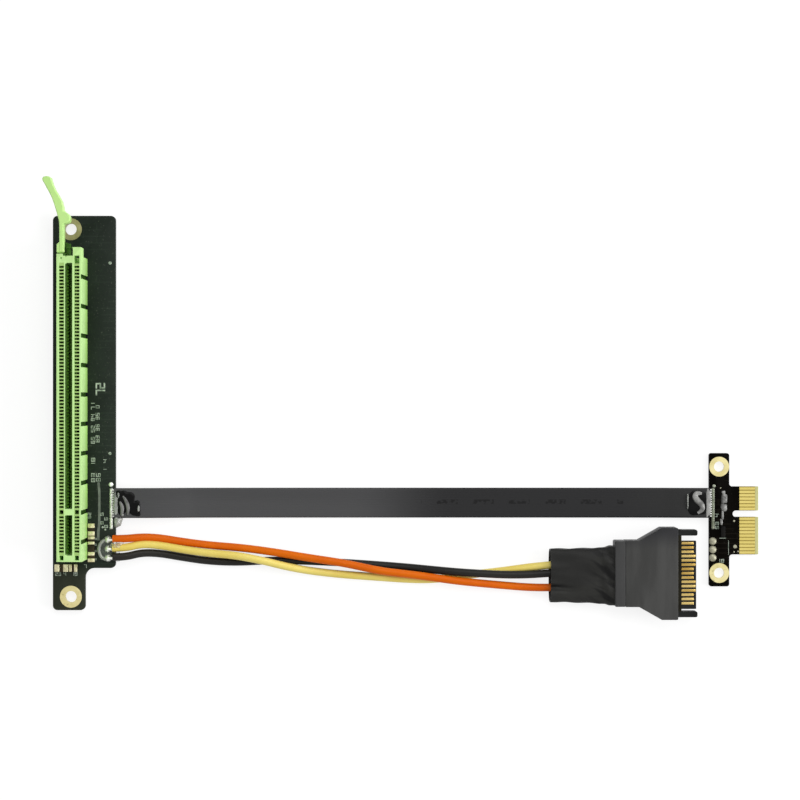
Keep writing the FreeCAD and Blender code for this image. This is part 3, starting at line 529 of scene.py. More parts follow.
print("stage 1: finishes")
gloss = {"Specular IOR Level": 0.3}
dull = {"Specular IOR Level": 0.12}
faint = {"Specular IOR Level": 0.07}
boardLook = {"grainScale": 900.0, "bump": 0.35, "bumpDepth": 0.03, "dustScale": 1700.0, "traceLift": 1.4}
limeLook = {"grainScale": 1500.0, "bump": 0.12}
ringLook = {"driftScale": 320.0, "grainScale": 2600.0, "bump": 0.3}
wireLook = {"grainScale": 1400.0, "bump": 0.15, "speckScale": 1400.0}
mouldLook = {"roughness": 0.46, "stretch": (1.6, 0.3, 1.0), "grainScale": 1300.0, "bump": 0.3, "shader": dull}
chipLook = {"driftScale": 500.0, "grainScale": 3000.0, "bump": 0.3}
printLook = {"grainScale": 3000.0, "bump": 0.2, "shader": dull}
solderLook = {"driftScale": 900.0, "grainScale": 3200.0, "speckScale": 2600.0}
beadLook = {"roughness": 0.28, "spread": 0.2, "driftScale": 420.0, "grainScale": 900.0, "bump": 0.3}

slotBoardFinish = makeFinish(masked, "slotBoardMask", {
    **boardLook, "colour": (29, 36, 30), "shade": (35, 43, 36), "roughness": 0.42, "shader": faint,
    "driftScale": 70.0, "traceScale": 170.0, "traceStrength": 0.12, "traceColour": (62, 74, 62),
    "dust": 0.1, "dustColour": (150, 155, 140), "footFrom": -44.0, "footTo": -50.0, "footColour": (46, 49, 39),
})
edgeBoardFinish = makeFinish(masked, "edgeBoardMask", {
    **boardLook, "colour": (8, 6, 4), "shade": (4, 3, 2), "roughness": 0.36, "shader": {"Specular IOR Level": 0.02},
    "driftScale": 120.0, "traceScale": 230.0, "traceStrength": 0.25, "traceColour": (40, 36, 30),
    "dust": 0.05, "dustColour": (90, 88, 80), "bareFrom": 198.5, "bareColour": (150, 132, 66),
    "bevelFrom": 203.12, "bevelColour": (176, 174, 122), "edgeBlend": 0.05,
})
greenFinishHousing = makeFinish(housed, "limeHousing", {
    # The foot, slot, slot rim, recess, cell-row and groove colours here are painted shade
    **limeLook, "colour": (194, 235, 152), "shade": (198, 238, 160), "roughness": 0.42, "driftScale": 45.0,
    "shader": {"Specular IOR Level": 0.2}, "footZ": 3.0, "rimZ": 8.6, "footColour": (172, 222, 120),
    "barX": ((-1.75, -0.32), (2.7, 4.2)), "barY": (-41.5, 43.9), "cellRowShadeColour": (164, 200, 116),
    "middleX": 1.2, "otherWall": 0.4, "grooveX": (3.1, 20.0), "grooveRimX": 4.62, "grooveTop": 12.4,
    "grooveY": 1.16, "groovePitch": 8.6, "grooveCount": 10, "grooveHalf": 0.64, "grooveShadeColour": (42, 76, 14),
    "slotRimZ": (11.8, 12.7), "slotShadeColour": (112, 164, 62), "slotRimShadeColour": (44, 74, 24),
    "recessX": (-0.6, 2.2), "recessY": (45.9, 50.4), "recessShadeColour": (54, 92, 26),
})
greenFinishLatch = makeFinish(latched, "limeLatch", {
    **limeLook, "colour": (192, 233, 142), "shade": (184, 226, 136), "roughness": 0.38, "driftScale": 90.0,
    # The inner colour is painted shade on the base's side in the recess
    "shader": {"Specular IOR Level": 0.25}, "innerX": (-0.42, 0.5), "innerY": (46.0, 50.4), "innerTop": 11.9,
    "innerShadeColour": (54, 92, 26),
})
# The ring in the latch's shadow: its darker colour is painted shade
shadedRing = makeFinish(plain, "shadedRing", {
    **ringLook, "colour": (160, 156, 112), "shade": (134, 130, 86), "roughness": 0.4, "shader": {"Metallic": 0.7},
})
ringFinish = makeFinish(plain, "platedRing", {
    **ringLook, "colour": (226, 215, 160), "shade": (206, 194, 136), "roughness": 0.34,
    "shader": {"Metallic": 0.75}, "speckColour": (120, 116, 74), "speckScale": 1400.0, "speckAmount": 0.5,
})
fingerFinish = makeFinish(plain, "platedFinger", {
    "colour": (218, 200, 118), "shade": (206, 188, 104), "roughness": 0.3, "driftScale": 260.0,
    "stretch": (0.25, 1.0, 1.0), "grainScale": 2600.0, "bump": 0.2, "shader": {"Metallic": 0.8},
})
bladeFinish = makeFinish(plain, "platedBlade", {
    "colour": (206, 180, 112), "shade": (168, 132, 52), "roughness": 0.24, "driftScale": 240.0,
    "stretch": (0.2, 1.0, 1.0), "grainScale": 2400.0, "bump": 0.15, "shader": {"Metallic": 0.85},
})
springFinish = makeFinish(sprung, "springContact", {
    "colour": (152, 188, 102), "shade": (128, 162, 82), "roughness": 0.4, "driftScale": 400.0,
    "grainScale": 2600.0, "bump": 0.2, "shader": {"Metallic": 0.2}, "slotShadeColour": (132, 196, 72),
})
solderFinish = makeFinish(plain, "tinSolder", {
    **solderLook, "colour": (246, 248, 242), "shade": (216, 218, 208), "roughness": 0.28, "bump": 0.45,
    "bumpDepth": 0.04, "shader": {"Metallic": 0.7}, "speckColour": (96, 92, 84), "speckAmount": 0.35,
})
dullSolder = makeFinish(plain, "dullSolder", {
    **solderLook, "colour": (160, 158, 136), "shade": (134, 132, 112), "roughness": 0.42, "bump": 0.35,
    "shader": {"Metallic": 0.35}, "speckColour": (110, 106, 92), "speckAmount": 0.25,
})
cardSolder = makeFinish(plain, "cardSolder", {
    **solderLook, "colour": (172, 178, 160), "shade": (128, 134, 116), "roughness": 0.4, "bump": 0.35,
    "shader": {"Metallic": 0.4}, "speckColour": (86, 88, 76), "speckAmount": 0.3,
})
terminalFinish = makeFinish(plain, "chipTerminal", {
    "colour": (228, 221, 182), "shade": (188, 179, 138), "roughness": 0.34, "driftScale": 900.0,
    "grainScale": 2600.0, "bump": 0.3, "shader": {"Metallic": 0.45},
})
chipFinish = makeFinish(plain, "chipCeramic", {
    **chipLook, "colour": (58, 48, 30), "shade": (38, 32, 24), "roughness": 0.5, "shader": dull,
})
edgeChipFinish = makeFinish(plain, "edgeChipBlack", {
    **chipLook, "colour": (14, 13, 12), "shade": (22, 20, 18), "roughness": 0.45, "shader": faint,
})
ribbonJacket = makeFinish(jacketed, "ribbonJacket", {
    "colour": (74, 74, 75), "shade": (69, 69, 70), "roughness": 0.5, "shader": dull, "driftScale": 90.0,
    "grainScale": 1500.0, "stretch": (0.06, 1.0, 1.0), "bump": 0.25, "paleTo": 82.0, "darkFrom": 114.0,
    "middleColour": (39, 39, 40), "darkTo": 158.0, "endFrom": 184.0, "endColour": (45, 45, 45),
    "markX": (104.0, 164.0), "markY": (-27.05, -25.75), "markZ": -0.75, "markPitch": 10.7, "markHalf": 3.1,
    "markStart": 4.7, "markScale": 950.0, "wornLow": 0.44, "wornHigh": 0.54, "markAmount": 0.8,
    "markColour": (18, 18, 18),
})
orangeWire = makeFinish(plain, "orangeWire", {
    **wireLook, "colour": (222, 106, 4), "shade": (210, 92, 2), "roughness": 0.4, "driftScale": 70.0,
    "shader": dull, "speckColour": (236, 140, 70), "speckAmount": 0.1,
})
yellowWire = makeFinish(plain, "yellowWire", {
    **wireLook, "colour": (235, 216, 116), "shade": (227, 203, 96), "roughness": 0.36, "driftScale": 70.0,
    "shader": gloss, "speckColour": (236, 224, 170), "speckAmount": 0.12,
})
blackWire = makeFinish(plain, "blackWire", {
    **wireLook, "colour": (28, 28, 26), "shade": (38, 37, 34), "roughness": 0.36, "driftScale": 60.0,
    "shader": dull, "speckColour": (96, 94, 84), "speckAmount": 0.12,
})
shrunkFinish = makeFinish(shrunk, "shrunkSleeve", {
    "colour": (34, 34, 33), "shade": (46, 46, 44), "roughness": 0.46, "driftScale": 130.0,
    "stretch": (0.45, 1.0, 1.0), "grainScale": 1600.0, "bump": 0.5, "bumpDepth": 0.08, "shader": dull,
    # The fold and tuck colours are painted shade in the creases
    "foldX": (142.0, 151.0), "foldY": -50.9, "foldSlope": -0.05, "foldHalf": 0.95, "foldShadeColour": (13, 13, 13),
    "tuckX": (151.0, 158.0), "tuckTurn": -0.55, "tuckStretch": (4.0, 0.8, 1.0), "tuckScale": 420.0,
    "tuckLow": 0.45, "tuckHigh": 0.62, "tuckShadeColour": (18, 18, 18),
})
plugMoulding = makeFinish(moulded, "plugMoulding", {
    **mouldLook, "colour": (70, 70, 69), "shade": (58, 58, 57), "driftScale": 110.0, "frontX": (179.55, 179.62),
    "darkY": (-41.0, -34.5), "darkColour": (44, 44, 46), "armColour": (18, 19, 18),
})
coverMoulding = makeFinish(plain, "coverMoulding", {
    **mouldLook, "colour": (63, 63, 63), "shade": (54, 54, 54), "driftScale": 130.0,
})
# Painted shade: the dark of the plug's mouth
mouthShadeFinish = makeFinish(plain, "plugMouthShade", {
    "colour": (34, 32, 22), "shade": (24, 22, 16), "roughness": 0.6, "driftScale": 300.0,
    "grainScale": 1500.0, "bump": 0.3, "shader": faint,
})
sealant = makeFinish(plain, "blackSealant", {
    "colour": (0.002, 0.002, 0.002, 1.0), "shade": (0.005, 0.005, 0.005, 1.0), "roughness": 0.2, "spread": 0.1,
    "driftScale": 260.0, "grainScale": 700.0, "bump": 0.2, "shader": {"Specular IOR Level": 0.08},
})
# The two bead greys are glue, their lightness in part a painted reflection of the glue's gloss
greyBead = makeFinish(plain, "greyBead", {
    **beadLook, "colour": (150, 150, 147), "shade": (98, 98, 96), "shader": {"Specular IOR Level": 0.4},
})
darkBead = makeFinish(plain, "darkBead", {
    **beadLook, "colour": (122, 122, 120), "shade": (78, 78, 77), "shader": gloss,
})
clearGlue = makeFinish(plain, "clearGlue", {
    "colour": (0.86, 0.87, 0.85, 1.0), "shade": (0.8, 0.82, 0.8, 1.0), "roughness": 0.1, "spread": 0.08,
    "driftScale": 200.0, "grainScale": 500.0, "bump": 0.3, "bumpDepth": 0.1,
    "shader": {"Transmission Weight": 0.85, "IOR": 1.46, "Specular IOR Level": 0.5},
})
poolGlue = makeFinish(plain, "poolGlue", {
    "colour": (92, 102, 92), "shade": (66, 76, 66), "roughness": 0.14, "spread": 0.1, "driftScale": 420.0,
    "grainScale": 700.0, "bump": 0.4, "bumpDepth": 0.1, "shader": {"Transmission Weight": 0.5, "IOR": 1.46},
})
# Milky glue: fillets of glue, and also the pale drops and arc that are in part painted highlights on clear glue
milkyGlue = makeFinish(plain, "milkyGlue", {
    "colour": (188, 191, 184), "shade": (150, 153, 146), "roughness": 0.2, "spread": 0.2, "driftScale": 260.0,
    "grainScale": 700.0, "bump": 0.4, "bumpDepth": 0.08, "shader": {"Transmission Weight": 0.35, "IOR": 1.46},
})
printFinish = makeFinish(plain, "boardPrint", {
    **printLook, "colour": (176, 186, 172), "shade": (120, 132, 118), "roughness": 0.6, "driftScale": 900.0,
})
faintPrint = makeFinish(plain, "faintPrint", {
    **printLook, "colour": (112, 118, 110), "shade": (92, 97, 90), "roughness": 0.55, "driftScale": 500.0,
})


print("stage 2: camera, table and light")


def addCamera():
    data = bpy.data.cameras.new("overheadCamera")
    data.sensor_width = view["sensor"]
    data.lens = view["sensor"] * view["height"] / view["pictureWidth"]
    camera = addObject("overheadCamera", data)
    camera.location = (view["middleX"] * mm, view["middleY"] * mm, floorZ + view["height"] * mm)
    bpy.context.scene.camera = camera


def addSoftLamp(name, place, power, size):
    data = bpy.data.lights.new(name, "AREA")
    data.energy = power
    data.size = size
    lamp = addObject(name, data)
    lamp.location = place
    aim = np.array(light["aim"]) - np.array(place)
    flat = math.hypot(aim[0], aim[1])
    lamp.rotation_euler = (math.atan2(flat, -aim[2]), 0.0, math.atan2(aim[1], aim[0]) - math.pi / 2)


def seenDirectly(tree):
    # One for camera, mirror and glass rays, nothing for the rays that light the object
    path = tree.nodes.new("ShaderNodeLightPath").outputs
    either = mathNode(tree, "MAXIMUM", path["Is Camera Ray"], path["Is Glossy Ray"])
    return mathNode(tree, "MAXIMUM", either, path["Is Transmission Ray"])


def addTable():
    half = light["floorSize"] / 2
    mesh = bpy.data.meshes.new("tableTop")
    z = floorZ - light["floorGap"]
    mesh.from_pydata([(-half, -half, z), (half, -half, z), (half, half, z), (-half, half, z)], [], [(0, 1, 2, 3)])
    table = addObject("tableTop", mesh)
    material, tree, shader = newMaterial("whiteTable")
    tree.links.new(mixNode(tree, seenDirectly(tree), light["floorColour"], light["seenColour"]),
                   shader.inputs["Base Color"])
    shader.inputs["Roughness"].default_value = light["floorRoughness"]
    shader.inputs["Specular IOR Level"].default_value = 0.0
    shader.inputs["Emission Color"].default_value = light["white"]
    glow = product(tree, seenDirectly(tree), light["floorGlow"])
    tree.links.new(glow, shader.inputs["Emission Strength"])
    mesh.materials.append(material)


def addSky():
    world = bpy.data.worlds.new("softSky")
    world.use_nodes = True
    bpy.context.scene.world = world
    tree = world.node_tree
    background = tree.nodes["Background"]
    background.inputs["Color"].default_value = light["white"]
    strength = rangeNode(tree, seenDirectly(tree), 0.0, 1.0, light["worldFill"], 1.0)
    tree.links.new(strength, background.inputs["Strength"])


addCamera()
addTable()
addSky()
addSoftLamp("keyLamp", light["keyPlace"], light["keyPower"], light["keySize"])
addSoftLamp("fillLamp", light["fillPlace"], light["fillPower"], light["fillSize"])
bpy.context.scene.view_settings.view_transform = "Standard"


print("stage 3: ribbon and power lead")
leads = {
    "wireDiameter": 2.3, "startX": 12.55, "startZ": 2.75, "endX": 161.0, "endZ": 2.5,
    "leadOut": 3.7, "leadIn": 4.2, "padMiddleY": -40.3, "padPitch": 2.7, "plugY": -47.4, "endSpread": 2.5,
    "startShift": 0.35,
}
orangeRoute = (
    (20.8, 3.5, 1.8), (26.0, 3.25, 0.9), (32.5, 2.1, 0.3), (41.0, 0.95, 0.0), (50.5, 0.25, 0.2),
    (60.5, -1.0, 1.3), (70.4, -2.6, 2.15), (81.3, -4.2, 2.2), (91.7, -6.55, 2.2), (100.0, -7.45, 2.25),
    (107.1, -8.4, 2.3), (113.9, -9.4, 2.3), (121.4, -10.2, 1.7), (129.4, -11.0, 0.5), (136.9, -11.6, 0.3),
    (145.2, -11.5, 0.9), (151.6, -10.4, 1.9),
)
yellowRoute = (
    (20.9, 1.5, 2.1), (26.2, 1.1, 1.5), (32.6, -0.1, 1.35), (40.6, -1.25, 1.75), (48.7, -1.85, 2.05),
    (56.7, -3.4, 2.2), (63.5, -5.2, 1.15), (70.3, -6.6, -0.1), (79.8, -7.7, -0.15), (91.1, -8.5, -0.15),
    (100.0, -9.15, -0.15), (107.2, -9.25, -0.15), (114.0, -8.45, -0.15), (121.3, -7.45, -0.15),
    (128.8, -6.6, -0.1), (135.7, -5.55, 0.35), (143.9, -4.65, 1.0), (151.2, -4.5, 1.9),
)
blackRoute = (
    (20.9, -1.15, 1.5), (26.2, -1.4, 0.2), (32.6, -2.55, -0.15), (40.5, -3.75, -0.15), (49.5, -4.1, -0.15),
    (59.5, -3.5, -0.15), (69.7, -3.7, -0.15), (80.4, -4.2, -0.15), (91.1, -4.9, -0.15), (101.2, -5.7, 0.1),
    (108.7, -6.35, 1.4), (115.4, -6.9, 2.2), (122.2, -7.3, 2.35), (129.0, -7.65, 2.2), (136.0, -7.65, 1.5),
    (143.6, -7.1, 1.4), (151.4, -7.1, 1.9),
)
ribbon = {
    "route": ((12.9, 2.15), (20.9, 2.15), (30.4, 1.0), (39.9, -0.75), (171.8, -0.75), (183.2, 0.95), (189.7, 0.95)),
    "y": -26.7, "width": 8.9, "thick": 1.1, "conductors": 12, "ridge": 0.006, "flatPoints": 121, "edgePoints": 9,
}


curveDetail = {"order": 3, "steps": 10, "roundSteps": 8}


def smoothCurve(name, points, diameter):
    # One open spline with the route's points as its control points
    curve = bpy.data.curves.new(name, "CURVE")
    curve.dimensions = "3D"
    spline = curve.splines.new("NURBS")
    spline.points.add(len(points) - 1)
    for point, place in zip(spline.points, points):
        point.co = (place[0] * mm, place[1] * mm, place[2] * mm, 1.0)
    spline.order_u = curveDetail["order"]
    spline.use_endpoint_u = True
    spline.resolution_u = curve.resolution_u = curveDetail["steps"]
    curve.bevel_depth = diameter / 2 * mm
    curve.bevel_resolution = curveDetail["roundSteps"] if diameter else 0
    curve.use_fill_caps = bool(diameter)
    return curve


def curvePoints(curve):
    # The smooth line's own points, in order, read from a curve that has no bevel
    holder = bpy.data.objects.new("routeHolder", curve)
    mesh = bpy.data.meshes.new_from_object(holder)
    places = np.zeros(len(mesh.vertices) * 3)
    mesh.vertices.foreach_get("co", places)
    bpy.data.objects.remove(holder)
    bpy.data.meshes.remove(mesh)
    return places.reshape(-1, 3)


def curveLength(points):
    return float(np.linalg.norm(np.diff(points, axis=0), axis=1).sum())


def addWire(name, node, route, padStep, endStep, material):
    startY = leads["padMiddleY"] + padStep * leads["padPitch"] + leads["startShift"]
    start = (leads["startX"], startY, leads["startZ"])
    end = (leads["endX"], leads["plugY"] + endStep * leads["endSpread"], leads["endZ"])
    points = [start, (start[0] + leads["leadOut"], start[1], start[2])]
    points += [(x, leads["padMiddleY"] + y, z) for x, y, z in route]
    points += [(end[0] - leads["leadIn"], end[1], end[2]), end]
    length = curveLength(curvePoints(smoothCurve(name + "Line", points, 0)))
    piece = placePiece(name, smoothCurve(name, points, leads["wireDiameter"]), material, (node,))


def addRibbon():
    # Flat section: half a circle at each edge, and a low ridge over each conductor on both faces
    points = [(x, ribbon["y"], z) for x, z in ribbon["route"]]
    path = curvePoints(smoothCurve("ribbonLine", points, 0))
    half = ribbon["thick"] / 2
    flat = ribbon["width"] / 2 - half
    across = np.linspace(-flat, flat, ribbon["flatPoints"])
    pitch = 2 * flat / (ribbon["conductors"] - 1)
    ridges = ribbon["ridge"] * (np.cos(2 * np.pi * (across + flat) / pitch) - 1)
    turn = np.linspace(-0.5 * np.pi, 0.5 * np.pi, ribbon["edgePoints"])[1:-1]
    upper = np.column_stack([across, half + ridges])
    rightEdge = np.column_stack([flat + half * np.cos(turn[::-1]), half * np.sin(turn[::-1])])
    lower = np.column_stack([across[::-1], -half - ridges[::-1]])
    leftEdge = np.column_stack([-flat - half * np.cos(turn), half * np.sin(turn)])
    profile = np.concatenate([upper, rightEdge, lower, leftEdge])
    piece = makePiece("ribbonCable", [carried(path, profile * mm)], ribbonJacket,
                      ("ribbon_cable",), scale=1.0)


addRibbon()


print("stage 4: sleeve and plug")
sleeve = {
    "x0": 142.08, "x1": 160.98, "y": -48.15, "wall": 0.45, "rows": 150, "sides": 220,
    "places": (0.0, 0.45, 0.8, 1.0), "widths": (15.8, 16.1, 16.6, 17.9), "heights": (5.2, 5.9, 6.0, 7.0),
    "middles": (1.35, 1.85, 2.2, 2.5), "corner": 3.4, "slant": 0.2, "sink": 0.42,
    "ridgesAt": (-2.5, 0.2, 2.6), "ridgeWidth": 1.3, "ridgeReach": 0.75, "ridgeHeight": 0.36,
    "creasesAt": 0.9, "creaseReach": 0.1, "creaseDepth": 0.22,
    # Side, drift, width and strength of the two folds gathered at the mouth
    "gathers": ((-3.2, -1.1, 0.5, 1.0), (-4.4, -0.4, 0.45, 0.7)), "gatherReach": 0.5, "gatherDepth": 0.8,
}


def sleeveSurface(inset):
    # Superellipse rings whose width, height and middle pass smoothly through the four stations;
    # low ridges follow the three wires from the mouth, and slanting creases gather at the plug
    share = np.linspace(0.0, 1.0, sleeve["rows"])[:, None]
    turn = np.linspace(0, 2 * np.pi, sleeve["sides"], endpoint=False)[None, :]
    stations = (sleeve["widths"], sleeve["heights"], sleeve["middles"])
    width, height, middle = (np.interp(share, sleeve["places"], values) for values in stations)
    cosine = np.cos(turn)
    sine = np.sin(turn)
    reach = (np.abs(cosine) ** sleeve["corner"] + np.abs(sine) ** sleeve["corner"]) ** (-1 / sleeve["corner"])
    side = (width / 2 - inset) * reach * cosine
    up = (height / 2 - inset) * reach * sine
    top = np.clip(reach * sine, 0, 1) ** 2
    ridges = sum(np.exp(-((side - offset) / sleeve["ridgeWidth"]) ** 2) for offset in sleeve["ridgesAt"])
    ridges = ridges * np.clip(1 - share / sleeve["ridgeReach"], 0, 1)
    nearPlug = np.exp(-((share - sleeve["creasesAt"]) / sleeve["creaseReach"]) ** 2)
    creases = (np.sin(26 * share + 0.9 * side) + 0.5 * np.sin(14 * share - 1.5 * side + 1.0)) * nearPlug
    slowFolds = 0.5 * np.sin(5.5 * share + 0.75 * side + 0.6) + 0.35 * np.sin(9 * share - 0.6 * side)
    gather = sum(strength * np.exp(-((side - place - drift * share) / span) ** 2)
                 for place, drift, span, strength in sleeve["gathers"])
    gather = gather * np.clip(1 - share / sleeve["gatherReach"], 0, 1)
    lift = (sleeve["ridgeHeight"] * ridges + sleeve["creaseDepth"] * (creases + slowFolds)
            - sleeve["gatherDepth"] * gather - sleeve["sink"])
    side = side * (1 + 0.012 * np.sin(17 * share + 3 * sine) - 0.02 * nearPlug * np.cos(30 * share))
    slant = sleeve["slant"] * (1 - share) * reach * sine * np.clip(1 - 6 * share, 0, 1)
    x = sleeve["x0"] + share * (sleeve["x1"] - sleeve["x0"]) + slant
    return np.stack(np.broadcast_arrays(x, sleeve["y"] + side, middle + up + top * lift), -1)


def addSleeve():
    outer = sleeveSurface(0.0)
    inner = sleeveSurface(sleeve["wall"])[::-1]
    rings = np.concatenate([outer, inner, outer[:1]])
    return makePiece("shrunkSleeve", [shell(rings)], shrunkFinish, ("heat_shrink",))


sleevePiece = addSleeve()
plugBody = softened("plug_body", "plugBody", 0.28, plugMoulding, segments=3)
plugCover = softened("plug_rear_cover", "plugRearCover", 0.28, coverMoulding, segments=3)
plugBlades = softened("plug_contacts", "plugBlades", 0.07, bladeFinish)
# A dark strip of painted shade in the plug's mouth, where the recess before the tongue lies in shadow: its edges along
# X, Y and Z
mouthShadeStrip = (179.5, 180.75, -60.3, -34.5, 0.35, 4.65)
plugMouth = makePiece("plugMouth", [plate(*mouthShadeStrip)], mouthShadeFinish)
addWire("orangeWire", "wire_orange", orangeRoute, 1, -1, orangeWire)
addWire("yellowWire", "wire_yellow", yellowRoute, 0, 1, yellowWire)
addWire("blackWire", "wire_black", blackRoute, -1, 0, blackWire)


print("stage 5: socket, latch and chips")


def paintRingShade():
    # The slot board's ring beyond the latch carries painted shade, the latch's shadow, so it is darker than the other
    # three
    data = nodes["slot_board_rings"].data
    data.materials.append(shadedRing)
    middles = np.zeros(len(data.polygons) * 3)
    data.polygons.foreach_get("center", middles)
    upper = middles.reshape(-1, 3)[:, 1] > 0
    data.polygons.foreach_set("material_index", upper.astype(np.int32))


softened("slot_housing", "slotHousing", 0.1, greenFinishHousing, flat=0.01)
softened("capacitor_bodies", "capacitorBodies", 0.1, chipFinish)
softened("capacitor_terminals", "capacitorTerminals", 0.12, terminalFinish)
softened("diode_chip", "diodeChip", 0.12, chipFinish)
softened("edge_chip", "edgeChip", 0.1, edgeChipFinish)
softened("slot_board", "slotBoard", 0.08, slotBoardFinish)
softened("edge_board", "edgeBoard", 0.08, edgeBoardFinish)
paint(["slot_contacts_left", "slot_contacts_right"], springFinish)
paint(["slot_board_rings", "edge_board_rings"], ringFinish)
paintRingShade()
paint(["edge_fingers_top", "edge_fingers_under"], fingerFinish)
paint(["wire_cores", "ribbon_conductors_slot", "ribbon_conductors_card", "slot_solder_tails"], solderFinish)


latch = {
    "low": 9.0, "top": 12.45, "foot": 3.4, "baseTop": 12.3, "rounding": 0.32, "segments": 4, "angle": 0.9,
    "leftEdge": ((-1.78, 47.0), (-1.78, 54.6), (-1.9, 56.2), (-2.3, 57.7), (-2.75, 59.3), (-3.25, 60.9),
                 (-3.8, 62.5), (-4.45, 63.95), (-5.35, 65.55), (-6.1, 67.0), (-6.68, 67.95)),
    "tip": ((-6.78, 68.55), (-6.45, 69.02), (-5.6, 69.22), (-4.75, 69.1), (-4.2, 68.75)),
    "rightEdge": ((-4.1, 68.15), (-3.65, 66.8), (-2.95, 65.2), (-1.95, 63.6), (-1.0, 61.8), (-0.6, 60.2), (-0.5, 59.1)),
    "hook": ((0.05, 58.75), (0.85, 58.2), (1.3, 57.5), (1.4, 56.9), (1.35, 56.2), (1.05, 55.65), (0.25, 55.35),
             (-0.5, 55.2), (-0.5, 47.0)),
    "base": ((-2.6, 46.86), (-0.25, 46.86), (-0.25, 50.16), (-1.72, 50.16), (-2.6, 49.26)),
}


def addLatch():
    # The arm, hook and bent handle as one slab, and the base block under them
    outline = latch["leftEdge"] + latch["tip"] + latch["rightEdge"] + latch["hook"]
    shells = [slab(outline, latch["low"], latch["top"]), slab(latch["base"], latch["foot"], latch["baseTop"])]
    piece = makePiece("retentionLatch", shells, greenFinishLatch, ("retention_latch",), "latch")
    roundEdges(piece, latch["rounding"], latch["segments"], latch["angle"])


addLatch()


print("stage 6: solder")
solderBand = {"top": -22.4, "pitch": 0.709, "count": 17, "height": 0.62, "lumpPoints": 14, "acrossPoints": 15}
slotRow = {**solderBand, "x0": 11.45, "x1": 12.5, "z": 1.6, "spot": (11.9, -21.2, 1.6, 0.72, 0.4)}
cardRow = {**solderBand, "x0": 190.15, "x1": 191.15, "z": 0.4, "spot": (190.95, -21.7, 0.4, 0.5, 0.3)}
powerPads = {
    "x": 11.05, "middleY": -40.3, "pitch": 2.7, "radius": 1.1, "z": 1.6, "height": 1.45, "lowRadius": 0.85,
    "lowHeight": 0.7,
}
edgePads = {"x": 190.55, "firstY": -38.1, "pitch": 2.47, "radius": 1.08, "z": 0.4, "height": 0.55}


def solderRow(row):
    # A row of lumps on a band: height is a half wave across the band times a raised wave along it
    along = np.linspace(0.0, 1.0, row["count"] * row["lumpPoints"])[:, None]
    across = np.linspace(0.0, np.pi, row["acrossPoints"])[None, :]
    lumps = 0.62 + 0.38 * np.cos(2 * np.pi * along * row["count"] + np.pi)
    uneven = 1 + 0.12 * np.sin(9.3 * along * np.pi) + 0.07 * np.sin(31 * along * np.pi)
    halfWidth = (row["x1"] - row["x0"]) / 2 * (0.85 + 0.15 * lumps)
    x = (row["x0"] + row["x1"]) / 2 - halfWidth * np.cos(across)
    y = row["top"] - along * row["pitch"] * row["count"]
    z = row["z"] + row["height"] * lumps * uneven * np.sin(across) ** 0.8
    return shell(poled(np.stack(np.broadcast_arrays(x, y, z), -1)))


def solderMound(x, y, z, radius, height, sides=40, rows=18):
    # A fillet that creeps up to a round crown: the radius shrinks as a cosine with a flared foot;
    # a height below nothing hangs it under the board
    turn = np.linspace(0, 2 * np.pi, sides, endpoint=False)[None, :]
    share = np.linspace(0.0, 1.0, rows)[:, None]
    reach = radius * (np.cos(0.5 * np.pi * share) ** 0.62) * (1 + 0.06 * np.exp(-share / 0.08))
    points = np.stack(np.broadcast_arrays(x + reach * np.cos(turn), y + reach * np.sin(turn), z + height * share), -1)
    return shell(poled(points))


for name, row, material, node in (("solderRowSlot", slotRow, solderFinish, "ribbon_solder_slot"),
                                  ("solderRowCard", cardRow, cardSolder, "ribbon_solder_card")):
    makePiece(name, [solderRow(row), disc(*row["spot"])], material, (node,))
padLines = [powerPads["middleY"] + step * powerPads["pitch"] for step in (-1, 0, 1)]
joints = [solderMound(powerPads["x"], y, powerPads["z"], powerPads["radius"], powerPads["height"]) for y in padLines]
joints += [solderMound(powerPads["x"], y, 0.0, powerPads["lowRadius"], -powerPads["lowHeight"]) for y in padLines]
makePiece("powerSolder", joints, solderFinish, ("power_solder_joints",))
mounds = [solderMound(edgePads["x"], edgePads["firstY"] - step * edgePads["pitch"], edgePads["z"],
                      edgePads["radius"], edgePads["height"]) for step in range(3)]
makePiece("edgeSolderPads", mounds, dullSolder, ("edge_solder_pads",))


print("stage 7: glue")
slotPatch = {
    # Black sealant on the ribbon's end, grey beads drawn over it, and white drops at its edge; the beads' grey is in
    # part a painted reflection of the glue's gloss, the white drops in part painted highlights
    "top": 2.7, "sunk": 0.05, "lifted": 0.3, "seal": ((16.3, -26.4, 2.35, 3.5, 0.32, 0.12, 0.7),
        (19.1, -28.2, 1.6, 2.5, 0.3, 0.1, 1.9), (15.0, -24.3, 1.5, 1.5, 0.3, 0.1, 2.4)),
    "beads": (((15.6, -24.6), (16.4, -25.7), (17.0, -27.1), (17.2, -28.6), (17.0, -30.2)),
              ((14.7, -26.2), (15.3, -27.4), (15.5, -28.9), (15.2, -30.3))),
    "beadWidth": 0.55, "beadFinish": darkBead,
    "drops": ((14.25, -24.3, 0.3, 0.95), (15.3, -29.6, 0.45, 1.0), (20.2, -28.3, 0.32, 1.1)),
}
# The grey S bead on the card's sealant is glue whose grey is in part a painted reflection of the glue's gloss
cardPatch = {
    "top": 1.5, "sunk": 0.05, "lifted": 0.3, "seal": ((186.0, -26.7, 2.9, 3.8, 0.32, 0.05, 1.4),),
    "beads": (((187.1, -23.9), (185.8, -23.6), (185.0, -24.7), (185.9, -26.1), (187.2, -27.2), (187.4, -28.9),
               (185.9, -29.7)),),
    "beadWidth": 0.9, "beadFinish": greyBead, "drops": ((183.0, -26.2, 0.22, 2.4),),
}


def glue(name, shells, material, replaced=()):
    makePiece(name, shells, material, replaced)


